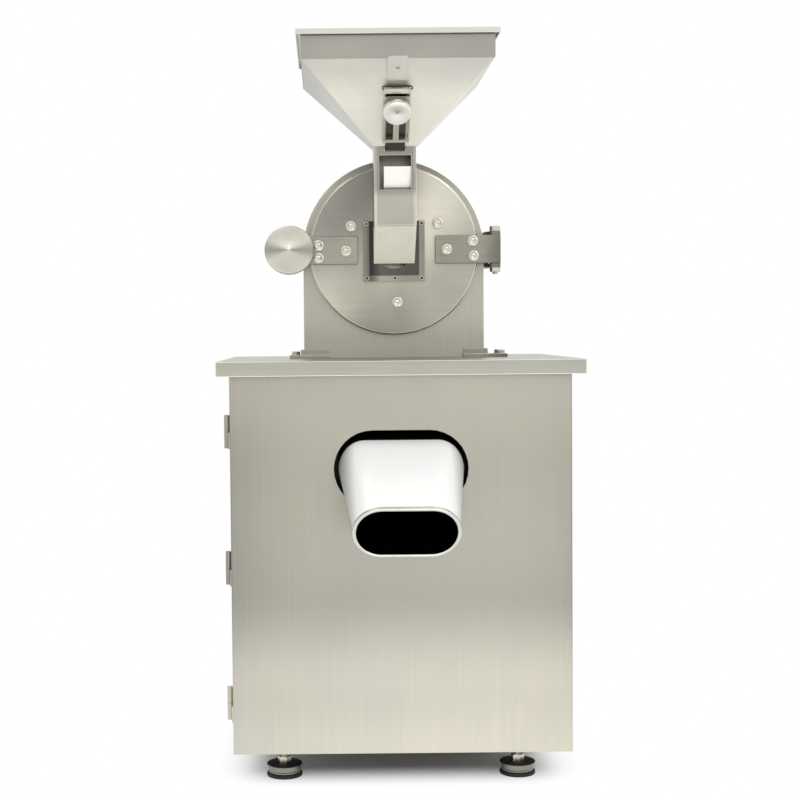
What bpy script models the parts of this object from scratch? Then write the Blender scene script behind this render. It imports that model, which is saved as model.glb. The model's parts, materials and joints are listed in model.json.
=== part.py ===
"""Stainless-steel pin mill on a cabinet. Metres, +Z up, +X right, the front faces -Y.

Positions are measured from the middle of the cabinet on the floor. At the end the whole mill is
moved along Y, so that the origin lies under the middle of its outer box.
"""

import math

import bmesh
import bpy
from mathutils import Matrix, Vector

OBJECT_NAME = "pin_mill"

# Clearances
GAP = 0.0003
RUNNING_GAP = 0.0006
THREAD_CLEARANCE = 0.0005
SCREW_HOLE_PLAY = 0.0012
BELT_CLEARANCE = 0.0004
FRAME_GAP = 0.0007

# How far cutters run past what they cut, and how far joined shapes lap into each other
CUT_MARGIN = 0.02
LAP = 0.001

# Sheets
SHEET = 0.002
TABLE_SHEET = 0.003

# Cabinet
CABINET_BOTTOM = 0.036
FLOOR_Z = -0.024
CABINET_WIDTH = 0.574
CABINET_DEPTH = 0.506
TABLE_TOP = 0.700
TABLE_EDGE = 0.025
TABLE_OVERHANG_X = 0.021
TABLE_OVERHANG_Y = 0.022
CORNER_RETURN = 0.016
CORNER_RADIUS = 0.003
ANGLE_LEG = 0.030
ANGLE_THICKNESS = 0.003

# Levelling feet
FOOT_INSET = 0.084
FOOT_PAD_RADIUS = 0.031
FOOT_PAD_HEIGHT = 0.007
FOOT_BAND_RADIUS = 0.028
FOOT_BAND_HEIGHT = 0.013
FOOT_FLANGE_HEIGHT = 0.0025
FOOT_HEX_RADIUS = 0.0118
FOOT_HEX_HEIGHT = 0.012
FOOT_NUT_RADIUS = 0.0105
FOOT_NUT_HEIGHT = 0.008
FOOT_STUD_RADIUS = 0.006
FOOT_STUD_LENGTH = 0.112
FOOT_RAIL_WIDTH = 0.044
FOOT_RAIL_THICKNESS = 0.012

# Mill housing and its chamber
MILL_AXIS_Z = TABLE_TOP + 0.194
HOUSING_RADIUS = 0.1635
HOUSING_FRONT = -0.028
HOUSING_BACK = 0.062
CHAMBER_RADIUS = 0.136
CHAMBER_BACK = 0.040
OUTLET_WIDTH = 0.190
OUTLET_DEPTH = 0.052
OUTLET_Y = 0.006
BRACKET_HEIGHT = 0.016
BRACKET_PLATE = 0.006
BRACKET_DEPTH = 0.070
BRACKET_LEFT = (-0.190, -0.117)
BRACKET_RIGHT = (0.126, 0.205)
BRACKET_FRONT = -0.040

# Door of the chamber
DOOR_RADIUS = 0.1525
DOOR_THICKNESS = 0.018
DOOR_CHAMFER = 0.003
GASKET_THICKNESS = 0.0014
GASKET_INNER = 0.140
GASKET_OUTER = 0.148
FEED_BORE_RADIUS = 0.033

# Pin discs and screen
PIN_RADIUS = 0.0035
RING_PITCH = 0.014
FIRST_ROTOR_RING = 0.044
ROTOR_RINGS = (10, 16, 22)
STATOR_RINGS = (13, 19)
STATOR_DISC_RADIUS = 0.108
STATOR_DISC_THICKNESS = 0.008
STATOR_PIN_LENGTH = 0.0235
ROTOR_DISC_RADIUS = 0.109
ROTOR_DISC_FRONT = 0.012
ROTOR_DISC_THICKNESS = 0.010
ROTOR_PIN_LENGTH = 0.024
ROTOR_NUT_RADIUS = 0.018
ROTOR_NUT_LENGTH = 0.018
ROTOR_THREAD_RADIUS = 0.008
SCREEN_RADIUS = 0.121
SCREEN_THICKNESS = 0.002
SCREEN_COLUMNS = 48

# Hinge of the chamber door
HINGE_X = 0.182
HINGE_Y = -0.044
STRAP_HEIGHT = 0.050
STRAP_THICKNESS = 0.0075
HINGE_STRAP_INNER = 0.074
HINGE_STRAP_END = 0.191
KNUCKLE_RADIUS = 0.0095
HINGE_PIN_RADIUS = 0.005
LUG_THICKNESS = 0.007
LUG_BACK = 0.022
BOLT_HEAD_RADIUS = 0.0098
BOLT_HEAD_HEIGHT = 0.0095

# Latch of the chamber door
LATCH_X = -0.188
LATCH_STRAP_INNER = -0.065
LATCH_STRAP_END = -0.212
LATCH_SCREW_RADIUS = 0.006
LATCH_SCREW_TIP = -0.0155
LATCH_LUG_FRONT = -0.0277
LATCH_LUG_DEPTH = 0.015
LATCH_LUG_HEIGHT = 0.050
LATCH_KNOB_RADIUS = 0.0435
LATCH_KNOB_THICKNESS = 0.016
LATCH_BOSS_RADIUS = 0.016
LATCH_BOSS_LENGTH = 0.012
WASHER_THICKNESS = 0.0015
WASHER_RADIUS = 0.014

# Feed flange and duct
FLANGE_WIDTH = 0.110
FLANGE_HEIGHT = 0.108
FLANGE_Z = MILL_AXIS_Z - 0.002
FLANGE_PLATE = 0.003
FLANGE_RIM = 0.010
FLANGE_RIM_HEIGHT = 0.003
DUCT_WIDTH = 0.074
DUCT_FRONT = -0.116
DUCT_TOP = MILL_AXIS_Z + 0.1777
DUCT_BEND_Z = MILL_AXIS_Z + 0.040
DUCT_REAR_SILL_Z = MILL_AXIS_Z + 0.038
WINDOW_WIDTH = 0.056
WINDOW_BOTTOM = MILL_AXIS_Z + 0.102
WINDOW_TOP = MILL_AXIS_Z + 0.162
BAFFLE_WIDTH = 0.046
BAFFLE_HEIGHT = 0.042
BAFFLE_LEAN = 0.010
BAFFLE_THICKNESS = 0.002

# Hopper
HOPPER_WIDTH = 0.324
HOPPER_BAND_BOTTOM = MILL_AXIS_Z + 0.309
HOPPER_TOP = MILL_AXIS_Z + 0.3537
HOPPER_BOTTOM = MILL_AXIS_Z + 0.178
LID_WIDTH = 0.340
LID_BOTTOM = MILL_AXIS_Z + 0.347
LID_TOP = MILL_AXIS_Z + 0.356
LID_AXIS_BACK = 0.018
LID_AXIS_Z = MILL_AXIS_Z + 0.342
LID_KNUCKLE_RADIUS = 0.005
LID_PIN_RADIUS = 0.0025
LID_KNUCKLE_X = 0.100
LID_KNUCKLE_LENGTH = 0.024

# Slide gate on the front slope of the hopper. Distances along the slope start at the duct.
GATE_WIDTH = 0.034
GATE_THICKNESS = 0.003
GATE_LIFT = 0.0006
GATE_LOWER_END = -0.006
GATE_UPPER_END = 0.1895
GATE_HOLE_RADIUS = 0.0038
GATE_HOLE_INSET = 0.023
GUIDE_WIDTH = 0.046
GUIDE_DEPTH = 0.014
GUIDE_WALL = 0.002
GUIDE_LOWER_END = 0.018
GUIDE_UPPER_END = 0.130
GUIDE_BRIDGE = 0.009
GUIDE_KNOB_PLATE_END = 0.114
GUIDE_SLOT_START = 0.024
GUIDE_SLOT_END = 0.072
GUIDE_RIB_WIDTH = 0.010
GATE_KNOB_ALONG = 0.094
GATE_KNOB_RADIUS = 0.0235
GATE_KNOB_THICKNESS = 0.013
GATE_KNOB_BACK = 0.022
GATE_SCREW_RADIUS = 0.004
GATE_BOSS_RADIUS = 0.009

# Discharge chute
CHUTE_HOLE_Z = TABLE_TOP - 0.182
CHUTE_CORNER_Z = TABLE_TOP - 0.050
CHUTE_HOLE_WIDTH = 0.226
CHUTE_HOLE_HEIGHT = 0.130
CHUTE_REACH = 0.170
CHUTE_MOUTH_WIDTH = 0.166
CHUTE_FACE_WIDTH = 0.210
CHUTE_HEIGHT = 0.087
CHUTE_WALL = 0.0025
CHUTE_LIP = 0.003
CHUTE_LIP_LENGTH = 0.008
CHUTE_BEND_RADIUS = 0.072
CHUTE_INLET_FLANGE = 0.022
CHUTE_INLET_STEP = 0.005
CHUTE_BEND_STEPS = 4
CHUTE_CORNER_STEPS = 6

# Drive
BEARING_HOUSING_END = 0.150
BEARING_HOUSING_RADIUS = 0.055
BEARING_FLANGE_RADIUS = 0.078
BEARING_FLANGE = 0.012
BEARING_OUTER = 0.031
BEARING_WIDTH = 0.016
BEARING_INSET = 0.010
SPINDLE_RADIUS = 0.015
BEARING_COVER_THICKNESS = 0.006
SEAL_RADIUS = 0.030
PULLEY_Y = 0.185
PULLEY_WIDTH = 0.040
SPINDLE_PULLEY_RADIUS = 0.050
MOTOR_PULLEY_RADIUS = 0.075
BELT_PITCH = 0.017
BELT_TOP_WIDTH = 0.012
BELT_BOTTOM_WIDTH = 0.007
BELT_HEIGHT = 0.008
GROOVE_FLOOR = 0.010
MOTOR_AXIS_Z = 0.235
MOTOR_RADIUS = 0.104
MOTOR_FRONT = -0.165
MOTOR_BACK = 0.115
MOTOR_SHAFT_RADIUS = 0.014
MOTOR_FOOT_HEIGHT = 0.112
MOTOR_PLATE_THICKNESS = 0.006
MOTOR_PLATE_WIDTH = 0.360
MOTOR_PLATE_DEPTH = 0.270
MOTOR_FEET_X = 0.075
MOTOR_FOOT_WIDTH = 0.060
MOTOR_FOOT_THICKNESS = 0.012
MOTOR_LEG_WIDTH = 0.024
MOTOR_FOOT_INSET = 0.030
MOTOR_END_TAPER = 0.016
TERMINAL_BOX = (0.090, 0.085, 0.045)
MOTOR_FAN_RADIUS = 0.078
MOTOR_FAN_PLATE = 0.003
FAN_BLADE_COUNT = 6
FAN_BLADE_DEPTH = 0.018
FAN_BLADE_INNER = 0.024
FAN_COVER_SHEET = 0.0015
FAN_COVER_OPENING = 0.030
MOTOR_RAIL_TO_FOOT = 0.059
MOTOR_RAIL_WIDTH = 0.044
MOTOR_RAIL_WALL = 0.004
FAN_COVER_LENGTH = 0.060
GUARD_RADIUS = 0.076
GUARD_FRONT = 0.158
GUARD_BACK = 0.214
BELT_SLOT_WIDTH = 0.172

# Service door on the left side
SERVICE_AXIS_OUT = 0.0058
SERVICE_AXIS_INSET = 0.031
SERVICE_KNUCKLE_RADIUS = 0.0052
SERVICE_PIN_RADIUS = 0.0025
SERVICE_KNUCKLE_LENGTH = 0.028
SERVICE_HINGE_HEIGHTS = (0.581, 0.349, 0.117)
SERVICE_EDGE_GAP = 0.002
SERVICE_LEAF = 0.0025
SERVICE_RETURN = 0.013
SERVICE_LEAF_LENGTH = 0.024
SERVICE_LOWER_GAP = 0.004
SERVICE_UPPER_GAP = 0.006
STIFFENER_END_GAP = 0.040
STIFFENER_INSETS = (0.020, 0.045)
HANDLE_LENGTH = 0.110
HANDLE_REACH = 0.010
HANDLE_INSET = 0.035
HANDLE_RADIUS = 0.0035

# Rear panel
LOUVRE_COUNT = 9
LOUVRE_LENGTH = 0.260
LOUVRE_PITCH = 0.026
LOUVRE_HEIGHT = 0.006
LOUVRE_FIRST_Z = 0.150
CABLE_GLAND_RADIUS = 0.011

# Values that follow from the ones above
CABINET_LEFT = -CABINET_WIDTH / 2
CABINET_RIGHT = CABINET_WIDTH / 2
CABINET_FRONT = -CABINET_DEPTH / 2
CABINET_BACK = CABINET_DEPTH / 2
CHUTE_SLOPE = math.atan2(CHUTE_CORNER_Z - CHUTE_HOLE_Z, OUTLET_Y - CABINET_FRONT)
MOTOR_RAIL_Y = CABINET_BACK - FOOT_INSET - MOTOR_RAIL_TO_FOOT
SERVICE_AXIS_Y = CABINET_FRONT + SERVICE_AXIS_INSET
TABLE_UNDERSIDE = TABLE_TOP - TABLE_SHEET
SHELL_TOP = TABLE_UNDERSIDE - GAP
DOOR_BACK = HOUSING_FRONT - GASKET_THICKNESS - 2 * GAP
DOOR_FRONT = DOOR_BACK - DOOR_THICKNESS
STRAP_BACK = DOOR_FRONT - GAP
STRAP_FRONT = STRAP_BACK - STRAP_THICKNESS
FLANGE_BACK = DOOR_FRONT - GAP
FLANGE_FRONT = FLANGE_BACK - FLANGE_PLATE - FLANGE_RIM_HEIGHT
DUCT_BACK = FLANGE_BACK - FLANGE_PLATE - GAP
DUCT_MIDDLE = (DUCT_FRONT + DUCT_BACK) / 2
HOPPER_FRONT = DUCT_MIDDLE - HOPPER_WIDTH / 2
HOPPER_BACK = DUCT_MIDDLE + HOPPER_WIDTH / 2
GATE_ANGLE = math.atan2(
    HOPPER_BAND_BOTTOM - HOPPER_BOTTOM, DUCT_FRONT - HOPPER_FRONT
)
SPINDLE_PITCH_RADIUS = SPINDLE_PULLEY_RADIUS - BELT_HEIGHT / 2
MOTOR_PITCH_RADIUS = MOTOR_PULLEY_RADIUS - BELT_HEIGHT / 2
LID_AXIS_Y = HOPPER_BACK + LID_AXIS_BACK
SERVICE_AXIS_X = CABINET_LEFT - SERVICE_AXIS_OUT
FRONT_REACH = (
    CABINET_FRONT - CHUTE_REACH - CHUTE_HEIGHT / 2 * math.sin(CHUTE_SLOPE) - CHUTE_LIP
)
BACK_REACH = CABINET_BACK + TABLE_OVERHANG_Y
MODEL_SHIFT_Y = -(FRONT_REACH + BACK_REACH) / 2


# Scene set-up


def clear_scene():
    for obj in list(bpy.data.objects):
        bpy.data.objects.remove(obj)


def make_collection(name, hidden=False):
    collection = bpy.data.collections.new(name)
    bpy.context.scene.collection.children.link(collection)
    collection.hide_render = hidden
    return collection


def make_material(name, colour, roughness, metallic=1.0):
    material = bpy.data.materials.new(name)
    material.use_nodes = True
    shader = material.node_tree.nodes["Principled BSDF"]
    shader.inputs["Base Color"].default_value = (*colour, 1.0)
    shader.inputs["Roughness"].default_value = roughness
    shader.inputs["Metallic"].default_value = metallic
    return material


clear_scene()
PARTS = make_collection(OBJECT_NAME)
CUTTERS = make_collection("cutters", hidden=True)
STEEL = make_material("brushed_stainless", (0.48, 0.47, 0.42), 0.35)
BRIGHT = make_material("turned_stainless", (0.60, 0.59, 0.55), 0.25)
CAST = make_material("machined_steel", (0.42, 0.41, 0.38), 0.45)
RUBBER = make_material("black_rubber", (0.02, 0.02, 0.02), 0.8, 0.0)
PAINT = make_material("motor_paint", (0.18, 0.22, 0.25), 0.5, 0.0)
PLASTIC = make_material("black_plastic", (0.03, 0.03, 0.03), 0.5, 0.0)

BODIES = {}


def make_body(name, location=(0.0, 0.0, 0.0), parent=None):
    """An empty on the joint's axis, which carries the pieces of one moving body."""
    empty = bpy.data.objects.new(name, None)
    empty.empty_display_size = 0.05
    empty.location = location
    PARTS.objects.link(empty)
    bpy.context.view_layer.update()
    if parent:
        carry(empty, parent)
    BODIES[name] = empty
    return empty


def carry(obj, parent):
    bpy.context.view_layer.update()
    obj.parent = parent
    obj.matrix_parent_inverse = parent.matrix_world.inverted()


# Shapes


def add_mesh(name, mesh, location=(0.0, 0.0, 0.0), rotation=(0.0, 0.0, 0.0)):
    obj = bpy.data.objects.new(name, mesh)
    obj.location = location
    obj.rotation_euler = rotation
    PARTS.objects.link(obj)
    return obj


def box(name, x, y, z):
    """A box between two values along each axis."""
    size = Vector((x[1] - x[0], y[1] - y[0], z[1] - z[0]))
    work = bmesh.new()
    bmesh.ops.create_cube(work, size=1.0)
    bmesh.ops.scale(work, vec=size, verts=work.verts)
    mesh = bpy.data.meshes.new(name)
    work.to_mesh(mesh)
    work.free()
    return add_mesh(name, mesh, (sum(x) / 2, sum(y) / 2, sum(z) / 2))


def cylinder(name, radius, start, end, segments=32, smooth=True):
    """A cylinder between two points."""
    start = Vector(start)
    along = Vector(end) - start
    work = bmesh.new()
    bmesh.ops.create_cone(
        work,
        cap_ends=True,
        segments=segments,
        radius1=radius,
        radius2=radius,
        depth=along.length,
    )
    mesh = bpy.data.meshes.new(name)
    work.to_mesh(mesh)
    work.free()
    if smooth:
        mesh.shade_smooth()
        mesh.set_sharp_from_angle(angle=math.radians(35))
    turn = along.to_track_quat("Z", "Y").to_euler()
    return add_mesh(name, mesh, start + along / 2, turn)


def turned(name, profile, location, direction, steps=48):
    """A shape of revolution. The profile holds (radius, height) pairs and is closed where it
    doesn't end on the axis. Heights run along the direction."""
    work = bmesh.new()
    points = [work.verts.new((radius, 0.0, height)) for radius, height in profile]
    for first, second in zip(points, points[1:]):
        work.edges.new((first, second))
    if profile[0][0] > 0:
        work.edges.new((points[-1], points[0]))
    mesh = bpy.data.meshes.new(name)
    work.to_mesh(mesh)
    work.free()
    turn = Vector(direction).to_track_quat("Z", "Y").to_euler()
    obj = add_mesh(name, mesh, location, turn)
    screw = obj.modifiers.new("turn", "SCREW")
    screw.steps = steps
    screw.render_steps = steps
    screw.use_merge_vertices = True
    screw.merge_threshold = 0.00001
    screw.use_smooth_shade = False
    return obj


def ring_profile(inner, outer, low, high):
    return [(outer, high), (outer, low), (inner, low), (inner, high)]


def arc(centre, radius, start, end, steps):
    """Points on an arc, angles in degrees."""
    return [
        (
            centre[0] + radius * math.cos(math.radians(start + (end - start) * i / steps)),
            centre[1] + radius * math.sin(math.radians(start + (end - start) * i / steps)),
        )
        for i in range(steps + 1)
    ]


def rectangle(x, y):
    return [(x[0], y[0]), (x[1], y[0]), (x[1], y[1]), (x[0], y[1])]


PLANES = {
    "xy": Matrix.Identity(4),
    "xz": Matrix.Rotation(math.radians(90), 4, "X"),
    "yz": Matrix(((0, 0, 1, 0), (1, 0, 0, 0), (0, 1, 0, 0), (0, 0, 0, 1))),
}


def plate(name, outlines, plane, low, high):
    """A flat outline, with holes, given a thickness from low to high across its plane. An outline
    in the plane xz faces the front, and one in yz faces the right."""
    curve = bpy.data.curves.new(name, "CURVE")
    curve.dimensions = "2D"
    curve.fill_mode = "BOTH"
    curve.extrude = (high - low) / 2
    for outline in outlines:
        spline = curve.splines.new("POLY")
        spline.points.add(len(outline) - 1)
        spline.use_cyclic_u = True
        for point, (u, v) in zip(spline.points, outline):
            point.co = (u, v, 0.0, 1.0)
    middle = (low + high) / 2
    across = {"xy": (0, 0, middle), "xz": (0, middle, 0), "yz": (middle, 0, 0)}[plane]
    flat = bpy.data.objects.new(name + "_outline", curve)
    flat.matrix_world = Matrix.Translation(across) @ PLANES[plane]
    PARTS.objects.link(flat)
    bpy.context.view_layer.update()
    graph = bpy.context.evaluated_depsgraph_get()
    mesh = bpy.data.meshes.new_from_object(flat.evaluated_get(graph))
    mesh.name = name
    work = bmesh.new()
    work.from_mesh(mesh)
    bmesh.ops.remove_doubles(work, verts=work.verts, dist=0.000001)
    bmesh.ops.recalc_face_normals(work, faces=work.faces)
    work.to_mesh(mesh)
    work.free()
    obj = add_mesh(name, mesh)
    obj.matrix_world = flat.matrix_world
    bpy.data.objects.remove(flat)
    return obj


def shell(obj, thickness, open_faces, offset=-1.0):
    """Turns a solid into a sheet-metal shell, open where open_faces says so of a face's normal
    and middle, both in world space."""
    bpy.context.view_layer.update()
    turn = obj.matrix_world.to_3x3()
    work = bmesh.new()
    work.from_mesh(obj.data)
    gone = [
        face
        for face in work.faces
        if open_faces(turn @ face.normal, obj.matrix_world @ face.calc_center_median())
    ]
    bmesh.ops.delete(work, geom=gone, context="FACES")
    work.to_mesh(obj.data)
    work.free()
    solidify = obj.modifiers.new("sheet", "SOLIDIFY")
    solidify.thickness = thickness
    solidify.offset = offset
    solidify.use_even_offset = True
    return obj


def combine(obj, other, operation):
    """A Boolean with another object, which becomes a hidden helper."""
    modifier = obj.modifiers.new(operation.lower(), "BOOLEAN")
    modifier.operation = operation
    modifier.object = other
    modifier.solver = "EXACT"
    for collection in list(other.users_collection):
        collection.objects.unlink(other)
    CUTTERS.objects.link(other)
    other.hide_render = True
    other.display_type = "WIRE"
    if other.parent is None:
        carry(other, BODIES["mill"])
    return obj


def cut(obj, *cutters):
    for cutter in cutters:
        combine(obj, cutter, "DIFFERENCE")
    return obj


def join(obj, *others):
    for other in others:
        combine(obj, other, "UNION")
    return obj


def chamfer(obj, width, angle=40.0, segments=1):
    bevel = obj.modifiers.new("edges", "BEVEL")
    bevel.width = width
    bevel.segments = segments
    bevel.limit_method = "ANGLE"
    bevel.angle_limit = math.radians(angle)
    return obj


def finish(obj, body, material):
    obj.data.materials.clear()
    obj.data.materials.append(material)
    carry(obj, BODIES[body])
    return obj


def hexagon(centre, radius):
    return arc(centre, radius, 0, 300, 5)


# Bodies, each on its joint's axis


def make_bodies():
    mill = make_body("mill")
    door = make_body("door", (HINGE_X, HINGE_Y, MILL_AXIS_Z), mill)
    slide = make_body("latch_travel", (LATCH_X, STRAP_FRONT, MILL_AXIS_Z), door)
    make_body("latch_turn", (LATCH_X, STRAP_FRONT, MILL_AXIS_Z), slide)
    make_body("gate", gate_point(0.0, 0.0), door)
    make_body("gate_screw", gate_point(GATE_KNOB_ALONG, GUIDE_DEPTH), door)
    make_body("lid", (0.0, LID_AXIS_Y, LID_AXIS_Z), door)
    make_body("rotor", (0.0, 0.0, MILL_AXIS_Z), mill)
    make_body("motor_rotor", (0.0, 0.0, MOTOR_AXIS_Z), mill)
    make_body("service", (SERVICE_AXIS_X, SERVICE_AXIS_Y, 0.0), mill)
    for name, x, y in foot_places():
        make_body("foot_" + name, (x, y, FLOOR_Z), mill)


def foot_places():
    x = CABINET_RIGHT - FOOT_INSET
    y = CABINET_BACK - FOOT_INSET
    return [
        ("front_left", -x, -y),
        ("front_right", x, -y),
        ("rear_left", -x, y),
        ("rear_right", x, y),
    ]


def gate_point(along, out, x=0.0):
    """A point by its distance up the front slope of the hopper and its height off it."""
    up = Vector((0.0, -math.cos(GATE_ANGLE), math.sin(GATE_ANGLE)))
    off = Vector((0.0, -math.sin(GATE_ANGLE), -math.cos(GATE_ANGLE)))
    return Vector((x, DUCT_FRONT, HOPPER_BOTTOM)) + up * along + off * out


def on_slope(obj):
    """Lays a piece that was drawn flat, with Y up the slope and Z off it, on the hopper's slope."""
    up = gate_point(1.0, 0.0) - gate_point(0.0, 0.0)
    off = gate_point(0.0, 1.0) - gate_point(0.0, 0.0)
    side = up.cross(off)
    turn = Matrix((side, up, off)).transposed().to_4x4()
    bpy.context.view_layer.update()
    obj.matrix_world = Matrix.Translation(gate_point(0.0, 0.0)) @ turn @ obj.matrix_world
    bpy.context.view_layer.update()
    return obj


# Cabinet


def angle_post(name, x_side, y_side):
    """An upright of angle section in one corner, inside the sheets."""
    x = x_side * (CABINET_RIGHT - SHEET - FRAME_GAP)
    y = y_side * (CABINET_BACK - SHEET - FRAME_GAP)
    outline = [
        (x, y),
        (x - x_side * ANGLE_LEG, y),
        (x - x_side * ANGLE_LEG, y - y_side * ANGLE_THICKNESS),
        (x - x_side * ANGLE_THICKNESS, y - y_side * ANGLE_THICKNESS),
        (x - x_side * ANGLE_THICKNESS, y - y_side * ANGLE_LEG),
        (x, y - y_side * ANGLE_LEG),
    ]
    return plate(name, [outline], "xy", CABINET_BOTTOM, SHELL_TOP)


def frame_ring(name, low, high):
    """A rectangular ring of flat bar just inside the sheets."""
    x = CABINET_RIGHT - SHEET - FRAME_GAP
    y = CABINET_BACK - SHEET - FRAME_GAP
    wide = ANGLE_LEG
    outer = rectangle((-x, x), (-y, y))
    inner = rectangle((-x + wide, x - wide), (-y + wide, y - wide))
    return plate(name, [outer, inner], "xy", low, high)


def make_frame():
    frame = frame_ring("cabinet_frame", CABINET_BOTTOM, CABINET_BOTTOM + ANGLE_THICKNESS)
    join(frame, frame_ring("frame_top", SHELL_TOP - ANGLE_THICKNESS, SHELL_TOP))
    for x_side in (-1, 1):
        for y_side in (-1, 1):
            join(frame, angle_post(f"frame_post_{x_side}_{y_side}", x_side, y_side))
    y = CABINET_BACK - SHEET - FRAME_GAP - ANGLE_THICKNESS / 2
    rail_top = CABINET_BOTTOM + FOOT_RAIL_THICKNESS
    for side in (-1, 1):
        x = side * (CABINET_RIGHT - FOOT_INSET)
        across = (x - FOOT_RAIL_WIDTH / 2, x + FOOT_RAIL_WIDTH / 2)
        join(frame, box(f"foot_rail_{side}", across, (-y, y), (CABINET_BOTTOM, rail_top)))
    for name, x, y in foot_places():
        hole = FOOT_STUD_RADIUS + THREAD_CLEARANCE
        end = (x, y, rail_top + CUT_MARGIN)
        cut(frame, cylinder("stud_hole_" + name, hole, (x, y, FLOOR_Z), end, 16))
    finish(frame, "mill", CAST)
    make_motor_rail("motor_rail_front", -MOTOR_RAIL_Y, rail_top)
    make_motor_rail("motor_rail_rear", MOTOR_RAIL_Y, rail_top)


def make_motor_rail(name, y, rail_top):
    """A channel across the two foot rails, open below, that carries the motor plate."""
    x = CABINET_RIGHT - FOOT_INSET + FOOT_RAIL_WIDTH / 2
    half = MOTOR_RAIL_WIDTH / 2
    low = rail_top + GAP
    high = MOTOR_FOOT_HEIGHT - MOTOR_PLATE_THICKNESS - GAP
    rail = box(name, (-x, x), (y - half, y + half), (low, high))
    inside = half - MOTOR_RAIL_WALL
    hollow = box(
        name + "_hollow",
        (-x - CUT_MARGIN, x + CUT_MARGIN),
        (y - inside, y + inside),
        (low - CUT_MARGIN, high - MOTOR_RAIL_WALL),
    )
    cut(rail, hollow)
    finish(rail, "mill", CAST)


def make_shell():
    """One folded sheet: a return at the left, the front, the right side, a return at the back."""
    outline = rectangle((CABINET_LEFT, CABINET_RIGHT), (CABINET_FRONT, CABINET_BACK))
    sheet = plate("cabinet_shell", [outline], "xy", CABINET_BOTTOM, SHELL_TOP)
    work = bmesh.new()
    work.from_mesh(sheet.data)
    ends = [face for face in work.faces if abs(face.normal.z) > 0.5]
    bmesh.ops.delete(work, geom=ends, context="FACES")
    uprights = [edge for edge in work.edges if abs(edge.verts[0].co.z - edge.verts[1].co.z) > 0.1]
    bmesh.ops.bevel(
        work, geom=uprights, offset=CORNER_RADIUS, segments=3, affect="EDGES", profile=0.5
    )
    work.to_mesh(sheet.data)
    work.free()
    solidify = sheet.modifiers.new("sheet", "SOLIDIFY")
    solidify.thickness = SHEET
    solidify.offset = -1.0
    solidify.use_even_offset = True
    left = CABINET_LEFT - CUT_MARGIN
    cut(
        sheet,
        box(
            "side_opening",
            (left, CABINET_LEFT + CORNER_RETURN + CUT_MARGIN),
            (SERVICE_AXIS_Y - SERVICE_EDGE_GAP / 2, CABINET_BACK + CUT_MARGIN),
            (0.0, 1.0),
        ),
        box(
            "rear_opening",
            (left, CABINET_RIGHT - CORNER_RETURN),
            (CABINET_BACK - CUT_MARGIN, CABINET_BACK + CUT_MARGIN),
            (0.0, 1.0),
        ),
    )
    round_x = CHUTE_HOLE_WIDTH / 2 - CHUTE_HOLE_HEIGHT / 2
    right_end = arc((round_x, CHUTE_HOLE_Z), CHUTE_HOLE_HEIGHT / 2, -90, 90, 16)
    left_end = arc((-round_x, CHUTE_HOLE_Z), CHUTE_HOLE_HEIGHT / 2, 90, 270, 16)
    front = CABINET_FRONT
    hole = plate("chute_hole", [right_end + left_end], "xz", front - CUT_MARGIN, front + CUT_MARGIN)
    cut(sheet, hole)
    for i, middle in enumerate(SERVICE_HINGE_HEIGHTS):
        weld_hinge_half(sheet, i, middle)
    finish(sheet, "mill", STEEL)


def weld_hinge_half(sheet, i, middle):
    """The fixed half of a service hinge: leaf, lower knuckle and pin."""
    low = middle - SERVICE_KNUCKLE_LENGTH
    leaf = box(
        f"shell_leaf_{i}",
        (CABINET_LEFT - SERVICE_LEAF, CABINET_LEFT + SHEET / 2),
        (CABINET_FRONT + 0.006, SERVICE_AXIS_Y - SERVICE_EDGE_GAP / 2),
        (low, middle),
    )
    pin_low = (SERVICE_AXIS_X, SERVICE_AXIS_Y, middle - 0.001)
    pin_high = (SERVICE_AXIS_X, SERVICE_AXIS_Y, middle + SERVICE_KNUCKLE_LENGTH)
    pin = cylinder(f"service_pin_{i}", SERVICE_PIN_RADIUS, pin_low, pin_high, 12)
    join(sheet, leaf, service_knuckle(f"shell_knuckle_{i}", low), pin)


def make_rear_panel():
    panel = box(
        "rear_panel",
        (CABINET_LEFT + SHEET + GAP, CABINET_RIGHT - CORNER_RETURN - GAP),
        (CABINET_BACK - SHEET, CABINET_BACK),
        (CABINET_BOTTOM, SHELL_TOP),
    )
    slot_depth = (CABINET_BACK - 0.01, CABINET_BACK + 0.01)
    for i in range(LOUVRE_COUNT):
        z = LOUVRE_FIRST_Z + i * LOUVRE_PITCH
        slot = box(
            f"louvre_slot_{i}",
            (-LOUVRE_LENGTH / 2, LOUVRE_LENGTH / 2),
            slot_depth,
            (z, z + LOUVRE_HEIGHT),
        )
        cut(panel, slot)
    x = -CABINET_WIDTH / 2 + 0.08
    z = LOUVRE_FIRST_Z
    start = (x, slot_depth[0], z)
    end = (x, slot_depth[1], z)
    cut(panel, cylinder("gland_hole", CABLE_GLAND_RADIUS - 0.003 + GAP, start, end, 16))
    finish(panel, "mill", STEEL)
    inner = CABLE_GLAND_RADIUS - 0.003
    gland = turned(
        "cable_gland",
        [
            (0.0045, 0.022),
            (0.007, 0.022),
            (0.0085, 0.016),
            (0.0085, 0.008),
            (CABLE_GLAND_RADIUS, 0.008),
            (CABLE_GLAND_RADIUS, GAP),
            (inner, GAP),
            (inner, -0.012),
            (0.0045, -0.012),
        ],
        (x, CABINET_BACK, z),
        (0, 1, 0),
        12,
    )
    finish(gland, "mill", PLASTIC)


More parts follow.
